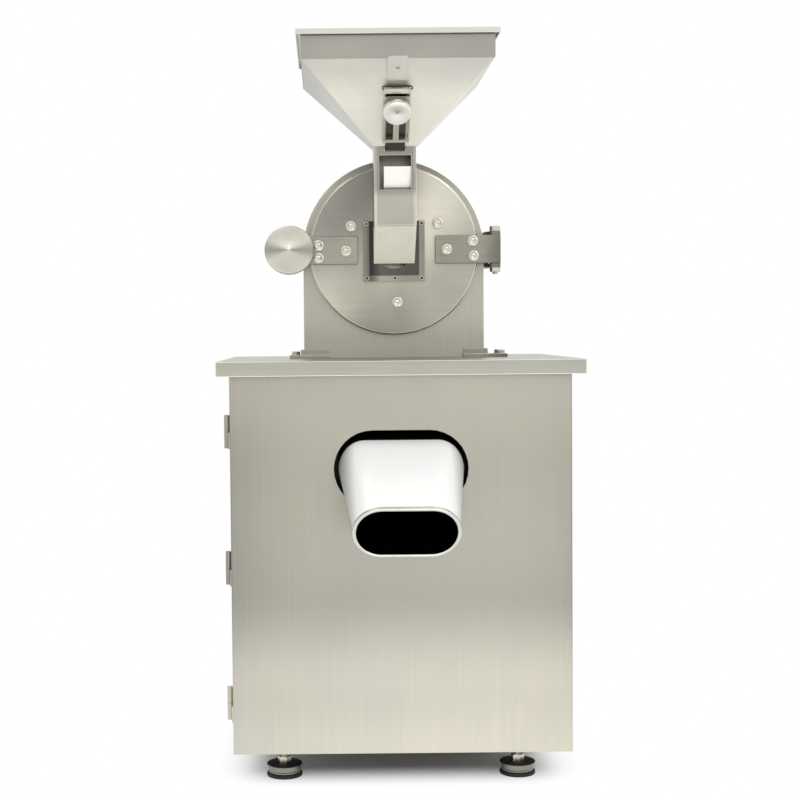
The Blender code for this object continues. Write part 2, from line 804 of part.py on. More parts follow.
def make_table():
    x = CABINET_RIGHT + TABLE_OVERHANG_X
    y = CABINET_BACK + TABLE_OVERHANG_Y
    table = box("tabletop", (-x, x), (-y, y), (TABLE_TOP - TABLE_EDGE, TABLE_TOP))
    shell(table, TABLE_SHEET, lambda normal, middle: normal.z < -0.5)
    slot_half = BELT_SLOT_WIDTH / 2
    cut(
        table,
        box(
            "outlet_in_table",
            (-OUTLET_WIDTH / 2, OUTLET_WIDTH / 2),
            (OUTLET_Y - OUTLET_DEPTH / 2, OUTLET_Y + OUTLET_DEPTH / 2),
            (TABLE_TOP - CUT_MARGIN, TABLE_TOP + CUT_MARGIN),
        ),
        box(
            "belt_slot",
            (-slot_half + CUT_MARGIN, slot_half - CUT_MARGIN),
            (GUARD_FRONT + SHEET + 0.003, GUARD_BACK - SHEET - 0.003),
            (TABLE_TOP - CUT_MARGIN, TABLE_TOP + CUT_MARGIN),
        ),
    )
    finish(table, "mill", STEEL)


def make_feet():
    """Levelling feet: a rubber pad, and a base with its hexagon, stud and lock nut."""
    band_low = FOOT_PAD_HEIGHT + GAP
    band_high = band_low + FOOT_BAND_HEIGHT
    flange_high = band_high + FOOT_FLANGE_HEIGHT
    hex_high = flange_high + FOOT_HEX_HEIGHT
    nut_high = CABINET_BOTTOM - FLOOR_Z - GAP
    nut_low = nut_high - FOOT_NUT_HEIGHT
    for name, x, y in foot_places():
        pad = turned(
            "foot_pad_" + name,
            [
                (0.0, FOOT_PAD_HEIGHT),
                (FOOT_PAD_RADIUS - 0.001, FOOT_PAD_HEIGHT),
                (FOOT_PAD_RADIUS, FOOT_PAD_HEIGHT - 0.001),
                (FOOT_PAD_RADIUS, 0.001),
                (FOOT_PAD_RADIUS - 0.001, 0.0),
                (0.0, 0.0),
            ],
            (x, y, FLOOR_Z),
            (0, 0, 1),
            16,
        )
        finish(pad, "foot_" + name, RUBBER)
        stud = turned(
            "foot_stud_" + name,
            [
                (0.0, FOOT_STUD_LENGTH),
                (FOOT_STUD_RADIUS, FOOT_STUD_LENGTH),
                (FOOT_STUD_RADIUS, nut_high),
                (FOOT_NUT_RADIUS, nut_high),
                (FOOT_NUT_RADIUS, nut_low),
                (FOOT_STUD_RADIUS, nut_low),
                (FOOT_STUD_RADIUS, hex_high),
                (FOOT_HEX_RADIUS, hex_high),
                (FOOT_HEX_RADIUS, flange_high),
                (FOOT_PAD_RADIUS, flange_high),
                (FOOT_PAD_RADIUS, band_high),
                (FOOT_BAND_RADIUS, band_high),
                (FOOT_BAND_RADIUS, band_low),
                (0.0, band_low),
            ],
            (x, y, FLOOR_Z),
            (0, 0, 1),
            16,
        )
        finish(stud, "foot_" + name, BRIGHT)


# Service door


def service_knuckle(name, low):
    start = (SERVICE_AXIS_X, SERVICE_AXIS_Y, low)
    end = (SERVICE_AXIS_X, SERVICE_AXIS_Y, low + SERVICE_KNUCKLE_LENGTH)
    return cylinder(name, SERVICE_KNUCKLE_RADIUS, start, end, 16)


def make_service_door():
    left = CABINET_LEFT
    front = SERVICE_AXIS_Y + SERVICE_EDGE_GAP / 2
    low = CABINET_BOTTOM + SERVICE_LOWER_GAP
    high = TABLE_TOP - TABLE_EDGE - SERVICE_UPPER_GAP
    door = box("service_door", (left, left + SHEET), (front, CABINET_BACK), (low, high))
    front_inset, rear_inset = STIFFENER_INSETS
    for name, y in (("front", front + front_inset), ("rear", CABINET_BACK - rear_inset)):
        stiffener = box(
            "door_stiffener_" + name,
            (left + SHEET / 2, left + SERVICE_RETURN),
            (y, y + SHEET),
            (low + STIFFENER_END_GAP, high - STIFFENER_END_GAP),
        )
        join(door, stiffener)
    for i, middle in enumerate(SERVICE_HINGE_HEIGHTS):
        leaf = box(
            f"door_leaf_{i}",
            (left - SERVICE_LEAF, left + SHEET / 2),
            (front, front + SERVICE_LEAF_LENGTH),
            (middle + GAP, middle + SERVICE_KNUCKLE_LENGTH),
        )
        join(door, leaf, service_knuckle(f"door_knuckle_{i}", middle + GAP))
        start = (SERVICE_AXIS_X, SERVICE_AXIS_Y, middle - SERVICE_KNUCKLE_LENGTH)
        end = (SERVICE_AXIS_X, SERVICE_AXIS_Y, middle + 2 * SERVICE_KNUCKLE_LENGTH)
        cut(door, cylinder(f"door_pin_hole_{i}", SERVICE_PIN_RADIUS + GAP, start, end, 16))
    finish(door, "service", STEEL)
    make_service_handle()


def make_service_handle():
    """A bow handle near the rear edge of the service door."""
    left = CABINET_LEFT - GAP
    y = CABINET_BACK - HANDLE_INSET
    half = HANDLE_LENGTH / 2
    middle = SERVICE_HINGE_HEIGHTS[1]
    curve = bpy.data.curves.new("service_handle_line", "CURVE")
    curve.dimensions = "3D"
    curve.bevel_depth = HANDLE_RADIUS
    curve.bevel_resolution = 2
    curve.use_fill_caps = True
    spline = curve.splines.new("POLY")
    corner = 0.006
    side = [(left, y, middle - half)]
    lower = arc((-left + HANDLE_REACH - corner, middle - half + corner), corner, 270, 360, 4)
    upper = arc((-left + HANDLE_REACH - corner, middle + half - corner), corner, 0, 90, 4)
    route = side + [(-u, y, v) for u, v in lower + upper] + [(left, y, middle + half)]
    spline.points.add(len(route) - 1)
    for point, place in zip(spline.points, route):
        point.co = (*place, 1.0)
    handle = bpy.data.objects.new("service_handle", curve)
    PARTS.objects.link(handle)
    finish(handle, "service", BRIGHT)


# Grinding head


def tombstone(radius, bottom, steps=36):
    """A straight-sided outline with a round top."""
    return [(-radius, bottom), (radius, bottom)] + arc((0.0, MILL_AXIS_Z), radius, 0, 180, steps)


def make_housing():
    outline = tombstone(HOUSING_RADIUS, TABLE_TOP + GAP)
    housing = plate("mill_housing", [outline], "xz", HOUSING_FRONT, HOUSING_BACK)
    centre = (0.0, 0.0, MILL_AXIS_Z)
    chamber = cylinder(
        "chamber",
        CHAMBER_RADIUS,
        (0.0, HOUSING_FRONT - CUT_MARGIN, centre[2]),
        (0.0, CHAMBER_BACK, centre[2]),
        48,
    )
    outlet = box(
        "housing_outlet",
        (-OUTLET_WIDTH / 2, OUTLET_WIDTH / 2),
        (OUTLET_Y - OUTLET_DEPTH / 2, OUTLET_Y + OUTLET_DEPTH / 2),
        (TABLE_TOP - CUT_MARGIN, MILL_AXIS_Z - 0.06),
    )
    bore = cylinder(
        "seal_bore",
        SEAL_RADIUS + GAP,
        (0.0, 0.0, centre[2]),
        (0.0, HOUSING_BACK + CUT_MARGIN, centre[2]),
        20,
    )
    cut(housing, chamber, outlet, bore)
    finish(housing, "mill", STEEL)
    for name, (x0, x1) in (("left", BRACKET_LEFT), ("right", BRACKET_RIGHT)):
        make_bracket(name, x0, x1)


def make_bracket(name, x0, x1):
    """A foot bracket of folded plate, beside the housing and a little in front of it."""
    low = TABLE_TOP + GAP
    plate_high = low + BRACKET_PLATE
    wall = HOUSING_RADIUS + GAP
    front = BRACKET_FRONT
    back = front + BRACKET_DEPTH
    inner_y = HOUSING_FRONT - GAP
    side = -1 if name == "left" else 1
    tip = min(side * x0, side * x1)
    end = max(side * x0, side * x1)
    outline = [
        (side * tip, front),
        (side * end, front),
        (side * end, back),
        (side * wall, back),
        (side * wall, inner_y),
        (side * tip, inner_y),
    ]
    foot = plate("housing_foot_" + name, [outline], "xy", low, plate_high)
    inset = 0.0005
    high = low + BRACKET_HEIGHT
    upright = sorted((side * (wall + inset), side * (wall + BRACKET_PLATE)))
    web = box("foot_web_" + name, upright, (inner_y - 0.003, back - inset), (low + inset, high))
    across = sorted((side * (tip + inset), side * (wall + BRACKET_PLATE - 0.001)))
    depth = (inner_y - BRACKET_PLATE, inner_y - inset)
    strip = box("foot_strip_" + name, across, depth, (low + inset, high - inset))
    join(foot, web, strip)
    finish(foot, "mill", STEEL)


def make_door():
    axis = (0.0, DOOR_BACK, MILL_AXIS_Z)
    chamfered = DOOR_THICKNESS - DOOR_CHAMFER
    door = turned(
        "door_disc",
        [
            (DOOR_RADIUS - DOOR_CHAMFER, DOOR_THICKNESS),
            (DOOR_RADIUS, chamfered),
            (DOOR_RADIUS, 0.0),
            (FEED_BORE_RADIUS, 0.0),
            (FEED_BORE_RADIUS, DOOR_THICKNESS),
        ],
        axis,
        (0, -1, 0),
        44,
    )
    finish(door, "door", STEEL)
    gasket_y = HOUSING_FRONT - GAP
    gasket = turned(
        "door_gasket",
        ring_profile(GASKET_INNER, GASKET_OUTER, 0.0, GASKET_THICKNESS),
        (0.0, gasket_y, MILL_AXIS_Z),
        (0, -1, 0),
        32,
    )
    finish(gasket, "door", RUBBER)


def ring_radius(step):
    return FIRST_ROTOR_RING + step * RING_PITCH


def pin_disc(name, disc, rings, pin_base, pin_tip, turn):
    """Adds rings of pins to a disc. Each ring is its radius and its number of pins."""
    work = bmesh.new()
    for radius, count in rings:
        for i in range(count):
            angle = 2 * math.pi * (i + turn) / count
            middle = (radius * math.cos(angle), 0.0, radius * math.sin(angle))
            bmesh.ops.create_cone(
                work,
                cap_ends=True,
                segments=6,
                radius1=PIN_RADIUS,
                radius2=PIN_RADIUS,
                depth=abs(pin_tip - pin_base),
                matrix=Matrix.Translation(middle) @ Matrix.Rotation(math.radians(90), 4, "X"),
            )
    mesh = bpy.data.meshes.new(name + "_pins")
    work.to_mesh(mesh)
    work.free()
    pins = add_mesh(name + "_pins", mesh, (0.0, (pin_base + pin_tip) / 2, MILL_AXIS_Z))
    return join(disc, pins)


def make_pin_discs():
    stator_back = DOOR_BACK + GAP
    stator_face = stator_back + STATOR_DISC_THICKNESS
    stator = turned(
        "stator_pin_disc",
        ring_profile(FEED_BORE_RADIUS, STATOR_DISC_RADIUS, 0.0, STATOR_DISC_THICKNESS),
        (0.0, stator_back, MILL_AXIS_Z),
        (0, 1, 0),
        36,
    )
    rings = [(ring_radius(2 * i + 1), count) for i, count in enumerate(STATOR_RINGS)]
    tip = stator_face + STATOR_PIN_LENGTH
    pin_disc("stator_pin_disc", stator, rings, stator_face - 0.003, tip, 0.5)
    finish(stator, "door", BRIGHT)
    face = ROTOR_DISC_FRONT
    rotor = turned(
        "rotor_pin_disc",
        ring_profile(
            SPINDLE_RADIUS - 0.003 + GAP, ROTOR_DISC_RADIUS, -ROTOR_DISC_THICKNESS, 0.0
        ),
        (0.0, face, MILL_AXIS_Z),
        (0, -1, 0),
        36,
    )
    rings = [(ring_radius(2 * i), count) for i, count in enumerate(ROTOR_RINGS)]
    pin_disc("rotor_pin_disc", rotor, rings, face + 0.003, face - ROTOR_PIN_LENGTH, 0.0)
    finish(rotor, "rotor", BRIGHT)
    nut_back = face - GAP
    outline = hexagon((0.0, MILL_AXIS_Z), ROTOR_NUT_RADIUS)
    nut = plate("rotor_nut", [outline], "xz", nut_back - ROTOR_NUT_LENGTH, nut_back)
    thread = cylinder(
        "rotor_nut_bore",
        ROTOR_THREAD_RADIUS + GAP,
        (0.0, nut_back - ROTOR_NUT_LENGTH + 0.005, MILL_AXIS_Z),
        (0.0, nut_back + 0.01, MILL_AXIS_Z),
        24,
    )
    cut(nut, thread)
    finish(nut, "rotor", BRIGHT)


def make_screen():
    """A slotted ring between the pins and the chamber wall."""
    front = HOUSING_FRONT
    back = CHAMBER_BACK - GAP
    length = back - front
    rows = (0.0, 0.12 * length, 0.46 * length, 0.54 * length, 0.88 * length, length)
    slotted = (1, 3)
    work = bmesh.new()
    grid = []
    for row in rows:
        ring = []
        for i in range(SCREEN_COLUMNS):
            angle = 2 * math.pi * i / SCREEN_COLUMNS
            place = (SCREEN_RADIUS * math.cos(angle), row, SCREEN_RADIUS * math.sin(angle))
            ring.append(work.verts.new(place))
        grid.append(ring)
    for row in range(len(rows) - 1):
        for i in range(SCREEN_COLUMNS):
            if row in slotted and i % 2:
                continue
            after = (i + 1) % SCREEN_COLUMNS
            lower = grid[row]
            upper = grid[row + 1]
            work.faces.new((lower[i], upper[i], upper[after], lower[after]))
    mesh = bpy.data.meshes.new("screen_ring")
    bmesh.ops.recalc_face_normals(work, faces=work.faces)
    work.to_mesh(mesh)
    work.free()
    screen = add_mesh("screen_ring", mesh, (0.0, front, MILL_AXIS_Z))
    solidify = screen.modifiers.new("sheet", "SOLIDIFY")
    solidify.thickness = SCREEN_THICKNESS
    solidify.offset = 0.0
    finish(screen, "mill", BRIGHT)


def make_straps():
    low = MILL_AXIS_Z - STRAP_HEIGHT / 2
    high = MILL_AXIS_Z + STRAP_HEIGHT / 2
    depth = (STRAP_FRONT, STRAP_BACK)
    hinge_strap = box("hinge_strap", (HINGE_STRAP_INNER, HINGE_STRAP_END), depth, (low, high))
    chamfer(hinge_strap, 0.0008)
    knuckle = cylinder(
        "hinge_knuckle", KNUCKLE_RADIUS, (HINGE_X, HINGE_Y, low), (HINGE_X, HINGE_Y, high), 20
    )
    pin_hole = cylinder(
        "hinge_pin_hole",
        HINGE_PIN_RADIUS + GAP,
        (HINGE_X, HINGE_Y, low - 0.01),
        (HINGE_X, HINGE_Y, high + 0.01),
        24,
    )
    cut(join(hinge_strap, knuckle), pin_hole)
    finish(hinge_strap, "door", STEEL)
    latch_strap = box("latch_strap", (LATCH_STRAP_END, LATCH_STRAP_INNER), depth, (low, high))
    chamfer(latch_strap, 0.0008)
    screw_hole = cylinder(
        "latch_strap_hole",
        LATCH_SCREW_RADIUS + THREAD_CLEARANCE,
        (LATCH_X, STRAP_FRONT - 0.01, MILL_AXIS_Z),
        (LATCH_X, STRAP_BACK + 0.01, MILL_AXIS_Z),
        24,
    )
    cut(latch_strap, screw_hole)
    finish(latch_strap, "door", STEEL)


def hinge_lug(name, low, high):
    """A lug in plan: round about the pin and running back to the side of the housing."""
    radius = KNUCKLE_RADIUS + 0.0005
    side = HOUSING_RADIUS + GAP + 0.001
    nose = arc((HINGE_X, HINGE_Y), radius, -180, 0, 12)
    outline = nose + [(side + 0.012, LUG_BACK), (side, LUG_BACK), (side, HINGE_Y + 0.012)]
    lug = plate(name, [outline], "xy", low, high)
    return lug


def make_hinge():
    low = MILL_AXIS_Z - STRAP_HEIGHT / 2
    high = MILL_AXIS_Z + STRAP_HEIGHT / 2
    lower = low - GAP - LUG_THICKNESS
    upper = high + GAP + LUG_THICKNESS
    wall = HOUSING_RADIUS + GAP
    bracket = box(
        "hinge_bracket", (wall, wall + 0.008), (HOUSING_FRONT + 0.004, LUG_BACK), (lower, upper)
    )
    join(
        bracket,
        hinge_lug("upper_lug", high + GAP, upper),
        hinge_lug("lower_lug", lower, low - GAP),
    )
    hole = HINGE_PIN_RADIUS + GAP
    start = (HINGE_X, HINGE_Y, lower - 0.01)
    end = (HINGE_X, HINGE_Y, upper + 0.01)
    cut(bracket, cylinder("lug_hole", hole, start, end, 24))
    finish(bracket, "mill", STEEL)
    head_low = upper + GAP
    pin = turned(
        "hinge_pin",
        [
            (0.0, head_low + BOLT_HEAD_HEIGHT),
            (BOLT_HEAD_RADIUS - 0.002, head_low + BOLT_HEAD_HEIGHT),
            (BOLT_HEAD_RADIUS, head_low + BOLT_HEAD_HEIGHT - 0.003),
            (BOLT_HEAD_RADIUS, head_low),
            (HINGE_PIN_RADIUS, head_low),
            (HINGE_PIN_RADIUS, lower - 0.012),
            (0.0, lower - 0.012),
        ],
        (HINGE_X, HINGE_Y, 0.0),
        (0, 0, 1),
        24,
    )
    finish(pin, "mill", BRIGHT)
    hole = arc((HINGE_X, HINGE_Y), HINGE_PIN_RADIUS + GAP, 0, 345, 23)
    nut_high = lower - GAP
    nut = plate(
        "hinge_pin_nut",
        [hexagon((HINGE_X, HINGE_Y), BOLT_HEAD_RADIUS), hole],
        "xy",
        nut_high - 0.008,
        nut_high,
    )
    finish(nut, "mill", BRIGHT)


def make_latch():
    z = MILL_AXIS_Z
    wall = -HOUSING_RADIUS - GAP
    lug = box(
        "latch_lug",
        (LATCH_X - 0.022, wall),
        (LATCH_LUG_FRONT, LATCH_LUG_FRONT + LATCH_LUG_DEPTH),
        (z - LATCH_LUG_HEIGHT / 2, z + LATCH_LUG_HEIGHT / 2),
    )
    plate_back = box(
        "latch_lug_pad",
        (wall - 0.008, wall),
        (LATCH_LUG_FRONT, 0.030),
        (z - LATCH_LUG_HEIGHT / 2, z + LATCH_LUG_HEIGHT / 2),
    )
    hole = cylinder(
        "latch_lug_hole",
        LATCH_SCREW_RADIUS + SCREW_HOLE_PLAY,
        (LATCH_X, LATCH_LUG_FRONT - 0.01, z),
        (LATCH_X, LATCH_LUG_FRONT + LATCH_LUG_DEPTH + 0.01, z),
        24,
    )
    cut(join(lug, plate_back), hole)
    finish(lug, "mill", STEEL)
    washer = turned(
        "latch_washer",
        ring_profile(
            LATCH_SCREW_RADIUS + GAP, WASHER_RADIUS, GAP, GAP + WASHER_THICKNESS
        ),
        (LATCH_X, STRAP_FRONT, z),
        (0, -1, 0),
        16,
    )
    finish(washer, "latch_travel", BRIGHT)
    boss_low = WASHER_THICKNESS + 2 * GAP
    face_low = boss_low + LATCH_BOSS_LENGTH
    face_high = face_low + LATCH_KNOB_THICKNESS
    tip = STRAP_FRONT - LATCH_SCREW_TIP
    knob = turned(
        "latch_knob",
        [
            (0.0, face_high),
            (LATCH_KNOB_RADIUS - 0.002, face_high),
            (LATCH_KNOB_RADIUS - 0.0006, face_high - 0.0006),
            (LATCH_KNOB_RADIUS, face_high - 0.002),
            (LATCH_KNOB_RADIUS, face_low + 0.002),
            (LATCH_KNOB_RADIUS - 0.002, face_low),
            (LATCH_BOSS_RADIUS, face_low),
            (LATCH_BOSS_RADIUS, boss_low),
            (LATCH_SCREW_RADIUS, boss_low),
            (LATCH_SCREW_RADIUS, tip + 0.0015),
            (LATCH_SCREW_RADIUS - 0.0015, tip),
            (0.0, tip),
        ],
        (LATCH_X, STRAP_FRONT, z),
        (0, -1, 0),
        28,
    )
    finish(knob, "latch_turn", BRIGHT)


# Feed


def make_flange():
    low = FLANGE_Z - FLANGE_HEIGHT / 2
    high = FLANGE_Z + FLANGE_HEIGHT / 2
    half = FLANGE_WIDTH / 2
    bore = arc((0.0, MILL_AXIS_Z), FEED_BORE_RADIUS, 0, 348.75, 31)
    outer = rectangle((-half, half), (low, high))
    base_front = FLANGE_BACK - FLANGE_PLATE
    flange = plate("feed_flange", [outer, bore], "xz", base_front, FLANGE_BACK)
    rim_width = FLANGE_RIM
    inner = rectangle(
        (-half + rim_width, half - rim_width), (low + rim_width, high + rim_width)
    )
    rim = plate("flange_rim", [outer], "xz", FLANGE_FRONT, base_front + LAP)
    cut_back = base_front + LAP + CUT_MARGIN
    opening = plate("rim_opening", [inner], "xz", FLANGE_FRONT - CUT_MARGIN, cut_back)
    join(flange, cut(rim, opening))
    finish(flange, "door", STEEL)


def make_duct():
    """An open-topped duct that bends back into the door."""
    bend_back = DUCT_BEND_Z - (DUCT_BACK - DUCT_FRONT)
    profile = [
        (DUCT_FRONT, DUCT_TOP),
        (DUCT_FRONT, DUCT_BEND_Z),
        (DUCT_BACK, bend_back),
        (DUCT_BACK, DUCT_REAR_SILL_Z),
        (DUCT_BACK, DUCT_TOP),
    ]
    half = DUCT_WIDTH / 2
    duct = plate("feed_duct", [profile], "yz", -half, half)

    def is_open(normal, middle):
        top = normal.z > 0.9
        into_door = normal.y > 0.9 and middle.z < DUCT_REAR_SILL_Z
        return top or into_door

    shell(duct, SHEET, is_open)
    window = box(
        "window",
        (-WINDOW_WIDTH / 2, WINDOW_WIDTH / 2),
        (DUCT_FRONT - CUT_MARGIN, DUCT_FRONT + 0.01),
        (WINDOW_BOTTOM, WINDOW_TOP),
    )
    notch_half = GATE_WIDTH / 2 + 0.001
    notch = box(
        "gate_notch",
        (-notch_half, notch_half),
        (DUCT_FRONT - CUT_MARGIN, DUCT_FRONT + 0.006),
        (DUCT_TOP - 0.009, DUCT_TOP + CUT_MARGIN),
    )
    trim = box(
        "duct_trim",
        (-DUCT_WIDTH, DUCT_WIDTH),
        (DUCT_BACK, DUCT_BACK + 0.05),
        (bend_back - 0.05, DUCT_TOP + 0.05),
    )
    cut(duct, window, notch, trim)
    finish(duct, "door", STEEL)
    make_baffle()


def make_baffle():
    """The plate that leans back behind the lower edge of the window."""
    foot_y = DUCT_FRONT + SHEET + 0.0012
    foot_z = WINDOW_BOTTOM
    lean = math.asin(BAFFLE_LEAN / BAFFLE_HEIGHT)
    baffle = box(
        "feed_baffle",
        (-DUCT_WIDTH / 2 + SHEET + GAP, -DUCT_WIDTH / 2 + SHEET + GAP + 0.004),
        (0.0, BAFFLE_THICKNESS),
        (0.004, BAFFLE_HEIGHT - 0.002),
    )
    face = box(
        "baffle_face",
        (-DUCT_WIDTH / 2 + SHEET + GAP + 0.002, -DUCT_WIDTH / 2 + SHEET + BAFFLE_WIDTH + 0.012),
        (0.0, BAFFLE_THICKNESS),
        (0.0, BAFFLE_HEIGHT),
    )
    join(baffle, face)
    for piece in (baffle, face):
        bpy.context.view_layer.update()
        turn = Matrix.Rotation(-lean, 4, "X")
        piece.matrix_world = Matrix.Translation((0.0, foot_y, foot_z)) @ turn @ piece.matrix_world
    finish(baffle, "door", BRIGHT)


def square_ring(work, half_x, half_y, middle_y, z):
    return [
        work.verts.new((x * half_x, middle_y + y * half_y, z))
        for x, y in ((-1, -1), (1, -1), (1, 1), (-1, 1))
    ]


def make_hopper():
    """A square pyramid with an upright band, as one open sheet."""
    half = HOPPER_WIDTH / 2
    throat_y = (DUCT_BACK - DUCT_FRONT) / 2
    work = bmesh.new()
    rings = [
        square_ring(work, half, half, DUCT_MIDDLE, HOPPER_TOP),
        square_ring(work, half, half, DUCT_MIDDLE, HOPPER_BAND_BOTTOM),
        square_ring(work, DUCT_WIDTH / 2, throat_y, DUCT_MIDDLE, HOPPER_BOTTOM),
    ]
    for upper, lower in zip(rings, rings[1:]):
        for i in range(4):
            after = (i + 1) % 4
            work.faces.new((upper[i], lower[i], lower[after], upper[after]))
    mesh = bpy.data.meshes.new("hopper")
    work.to_mesh(mesh)
    work.free()
    hopper = add_mesh("hopper", mesh)
    solidify = hopper.modifiers.new("sheet", "SOLIDIFY")
    solidify.thickness = SHEET
    solidify.offset = -1.0
    solidify.use_even_offset = True
    for side in (-1, 1):
        x = side * LID_KNUCKLE_X
        across = (x - LID_KNUCKLE_LENGTH / 2, x + LID_KNUCKLE_LENGTH / 2)
        arm = box(
            f"lid_arm_{side}",
            across,
            (HOPPER_BACK - LAP, LID_AXIS_Y - LAP),
            (LID_AXIS_Z - 0.004, LID_AXIS_Z - GAP),
        )
        barrel = lid_barrel(f"lid_barrel_{side}", across)
        join(hopper, arm, barrel)
    cut(hopper, lid_pin_hole("hopper_pin_hole"))
    finish(hopper, "door", STEEL)


def lid_barrel(name, across):
    start = (across[0], LID_AXIS_Y, LID_AXIS_Z)
    end = (across[1], LID_AXIS_Y, LID_AXIS_Z)
    return cylinder(name, LID_KNUCKLE_RADIUS, start, end, 16)


def lid_pin_hole(name):
    start = (-LID_WIDTH, LID_AXIS_Y, LID_AXIS_Z)
    end = (LID_WIDTH, LID_AXIS_Y, LID_AXIS_Z)
    return cylinder(name, LID_PIN_RADIUS + GAP, start, end, 16)


def make_lid():
    half = LID_WIDTH / 2
    lid = box(
        "hopper_lid",
        (-half, half),
        (DUCT_MIDDLE - half, DUCT_MIDDLE + half),
        (LID_BOTTOM, LID_TOP),
    )
    shell(lid, SHEET, lambda normal, middle: normal.z < -0.5)
    skirt = DUCT_MIDDLE + half
    for side in (-1, 1):
        x = side * (LID_KNUCKLE_X - LID_KNUCKLE_LENGTH - GAP)
        across = (x - LID_KNUCKLE_LENGTH / 2, x + LID_KNUCKLE_LENGTH / 2)
        strap = box(
            f"lid_strap_{side}",
            across,
            (skirt - LAP, LID_AXIS_Y),
            (LID_AXIS_Z + 0.002, LID_TOP - 0.003),
        )
        join(lid, strap, lid_barrel(f"lid_knuckle_{side}", across))
    cut(lid, lid_pin_hole("lid_pin_bore"))
    finish(lid, "lid", STEEL)
    reach = LID_KNUCKLE_X + LID_KNUCKLE_LENGTH / 2 + 0.004
    start = (-reach, LID_AXIS_Y, LID_AXIS_Z)
    end = (reach, LID_AXIS_Y, LID_AXIS_Z)
    finish(cylinder("lid_hinge_pin", LID_PIN_RADIUS, start, end, 12), "door", BRIGHT)


def make_gate():
    half = GATE_WIDTH / 2
    corner = 0.003
    outline = (
        [(-half, GATE_LOWER_END), (half, GATE_LOWER_END)]
        + arc((half - corner, GATE_UPPER_END - corner), corner, 0, 90, 4)
        + arc((-half + corner, GATE_UPPER_END - corner), corner, 90, 180, 4)
    )
    hole_middle = (0.0, GATE_UPPER_END - GATE_HOLE_INSET)
    hole = arc(hole_middle, GATE_HOLE_RADIUS, 0, 337.5, 15)
    gate = plate("gate_plate", [outline, hole], "xy", GATE_LIFT, GATE_LIFT + GATE_THICKNESS)
    finish(on_slope(gate), "gate", BRIGHT)


def make_guide():
    """A channel on the slope that the gate slides in, with a bridge that takes the clamp screw."""
    half = GUIDE_WIDTH / 2
    along = (GUIDE_LOWER_END, GUIDE_UPPER_END)
    guide = box("gate_guide", (-half, half), along, (GAP, GUIDE_DEPTH))
    inside = half - GUIDE_WALL
    channel = box(
        "guide_channel",
        (-inside, inside),
        (along[0] - CUT_MARGIN, along[1] + CUT_MARGIN),
        (-CUT_MARGIN, GUIDE_DEPTH - GUIDE_WALL),
    )
    view = box(
        "guide_opening",
        (-inside, inside),
        (GUIDE_KNOB_PLATE_END, GUIDE_UPPER_END - GUIDE_BRIDGE),
        (0.0, GUIDE_DEPTH + CUT_MARGIN),
    )
    rib = GUIDE_RIB_WIDTH / 2
    slots = [
        box(
            f"guide_slot_{side}",
            (min(side * rib, side * inside), max(side * rib, side * inside)),
            (GUIDE_SLOT_START, GUIDE_SLOT_END),
            (0.0, GUIDE_DEPTH + CUT_MARGIN),
        )
        for side in (-1, 1)
    ]
    screw_hole = cylinder(
        "guide_screw_hole",
        GATE_SCREW_RADIUS + THREAD_CLEARANCE,
        (0.0, GATE_KNOB_ALONG, 0.0),
        (0.0, GATE_KNOB_ALONG, GUIDE_DEPTH + CUT_MARGIN),
        16,
    )
    for piece in (guide, channel, view, *slots, screw_hole):
        on_slope(piece)
    cut(guide, channel, view, *slots, screw_hole)
    finish(guide, "door", STEEL)


def make_gate_screw():
    off = gate_point(0.0, 1.0) - gate_point(0.0, 0.0)
    place = gate_point(GATE_KNOB_ALONG, GUIDE_DEPTH)
    boss_low = GAP
    back = GATE_KNOB_BACK - GUIDE_DEPTH
    face = back + GATE_KNOB_THICKNESS
    tip = GATE_LIFT + GATE_THICKNESS + GAP - GUIDE_DEPTH
    knob = turned(
        "gate_knob",
        [
            (0.0, face),
            (GATE_KNOB_RADIUS - 0.002, face),
            (GATE_KNOB_RADIUS - 0.0006, face - 0.0006),
            (GATE_KNOB_RADIUS, face - 0.002),
            (GATE_KNOB_RADIUS, back + 0.002),
            (GATE_KNOB_RADIUS - 0.002, back),
            (GATE_BOSS_RADIUS, back),
            (GATE_BOSS_RADIUS, boss_low),
            (GATE_SCREW_RADIUS, boss_low),
            (GATE_SCREW_RADIUS, tip),
            (0.0, tip),
        ],
        place,
        off,
        20,
    )
    finish(knob, "gate_screw", BRIGHT)


# Discharge chute


def obround(width, height, steps):
    """The outline of a slot with round ends, in its own plane, starting at the lower right."""
    radius = height / 2
    run = width / 2 - radius
    right = arc((run, 0.0), radius, -90, 90, steps)
    left = arc((-run, 0.0), radius, 90, 270, steps)
    return right + left


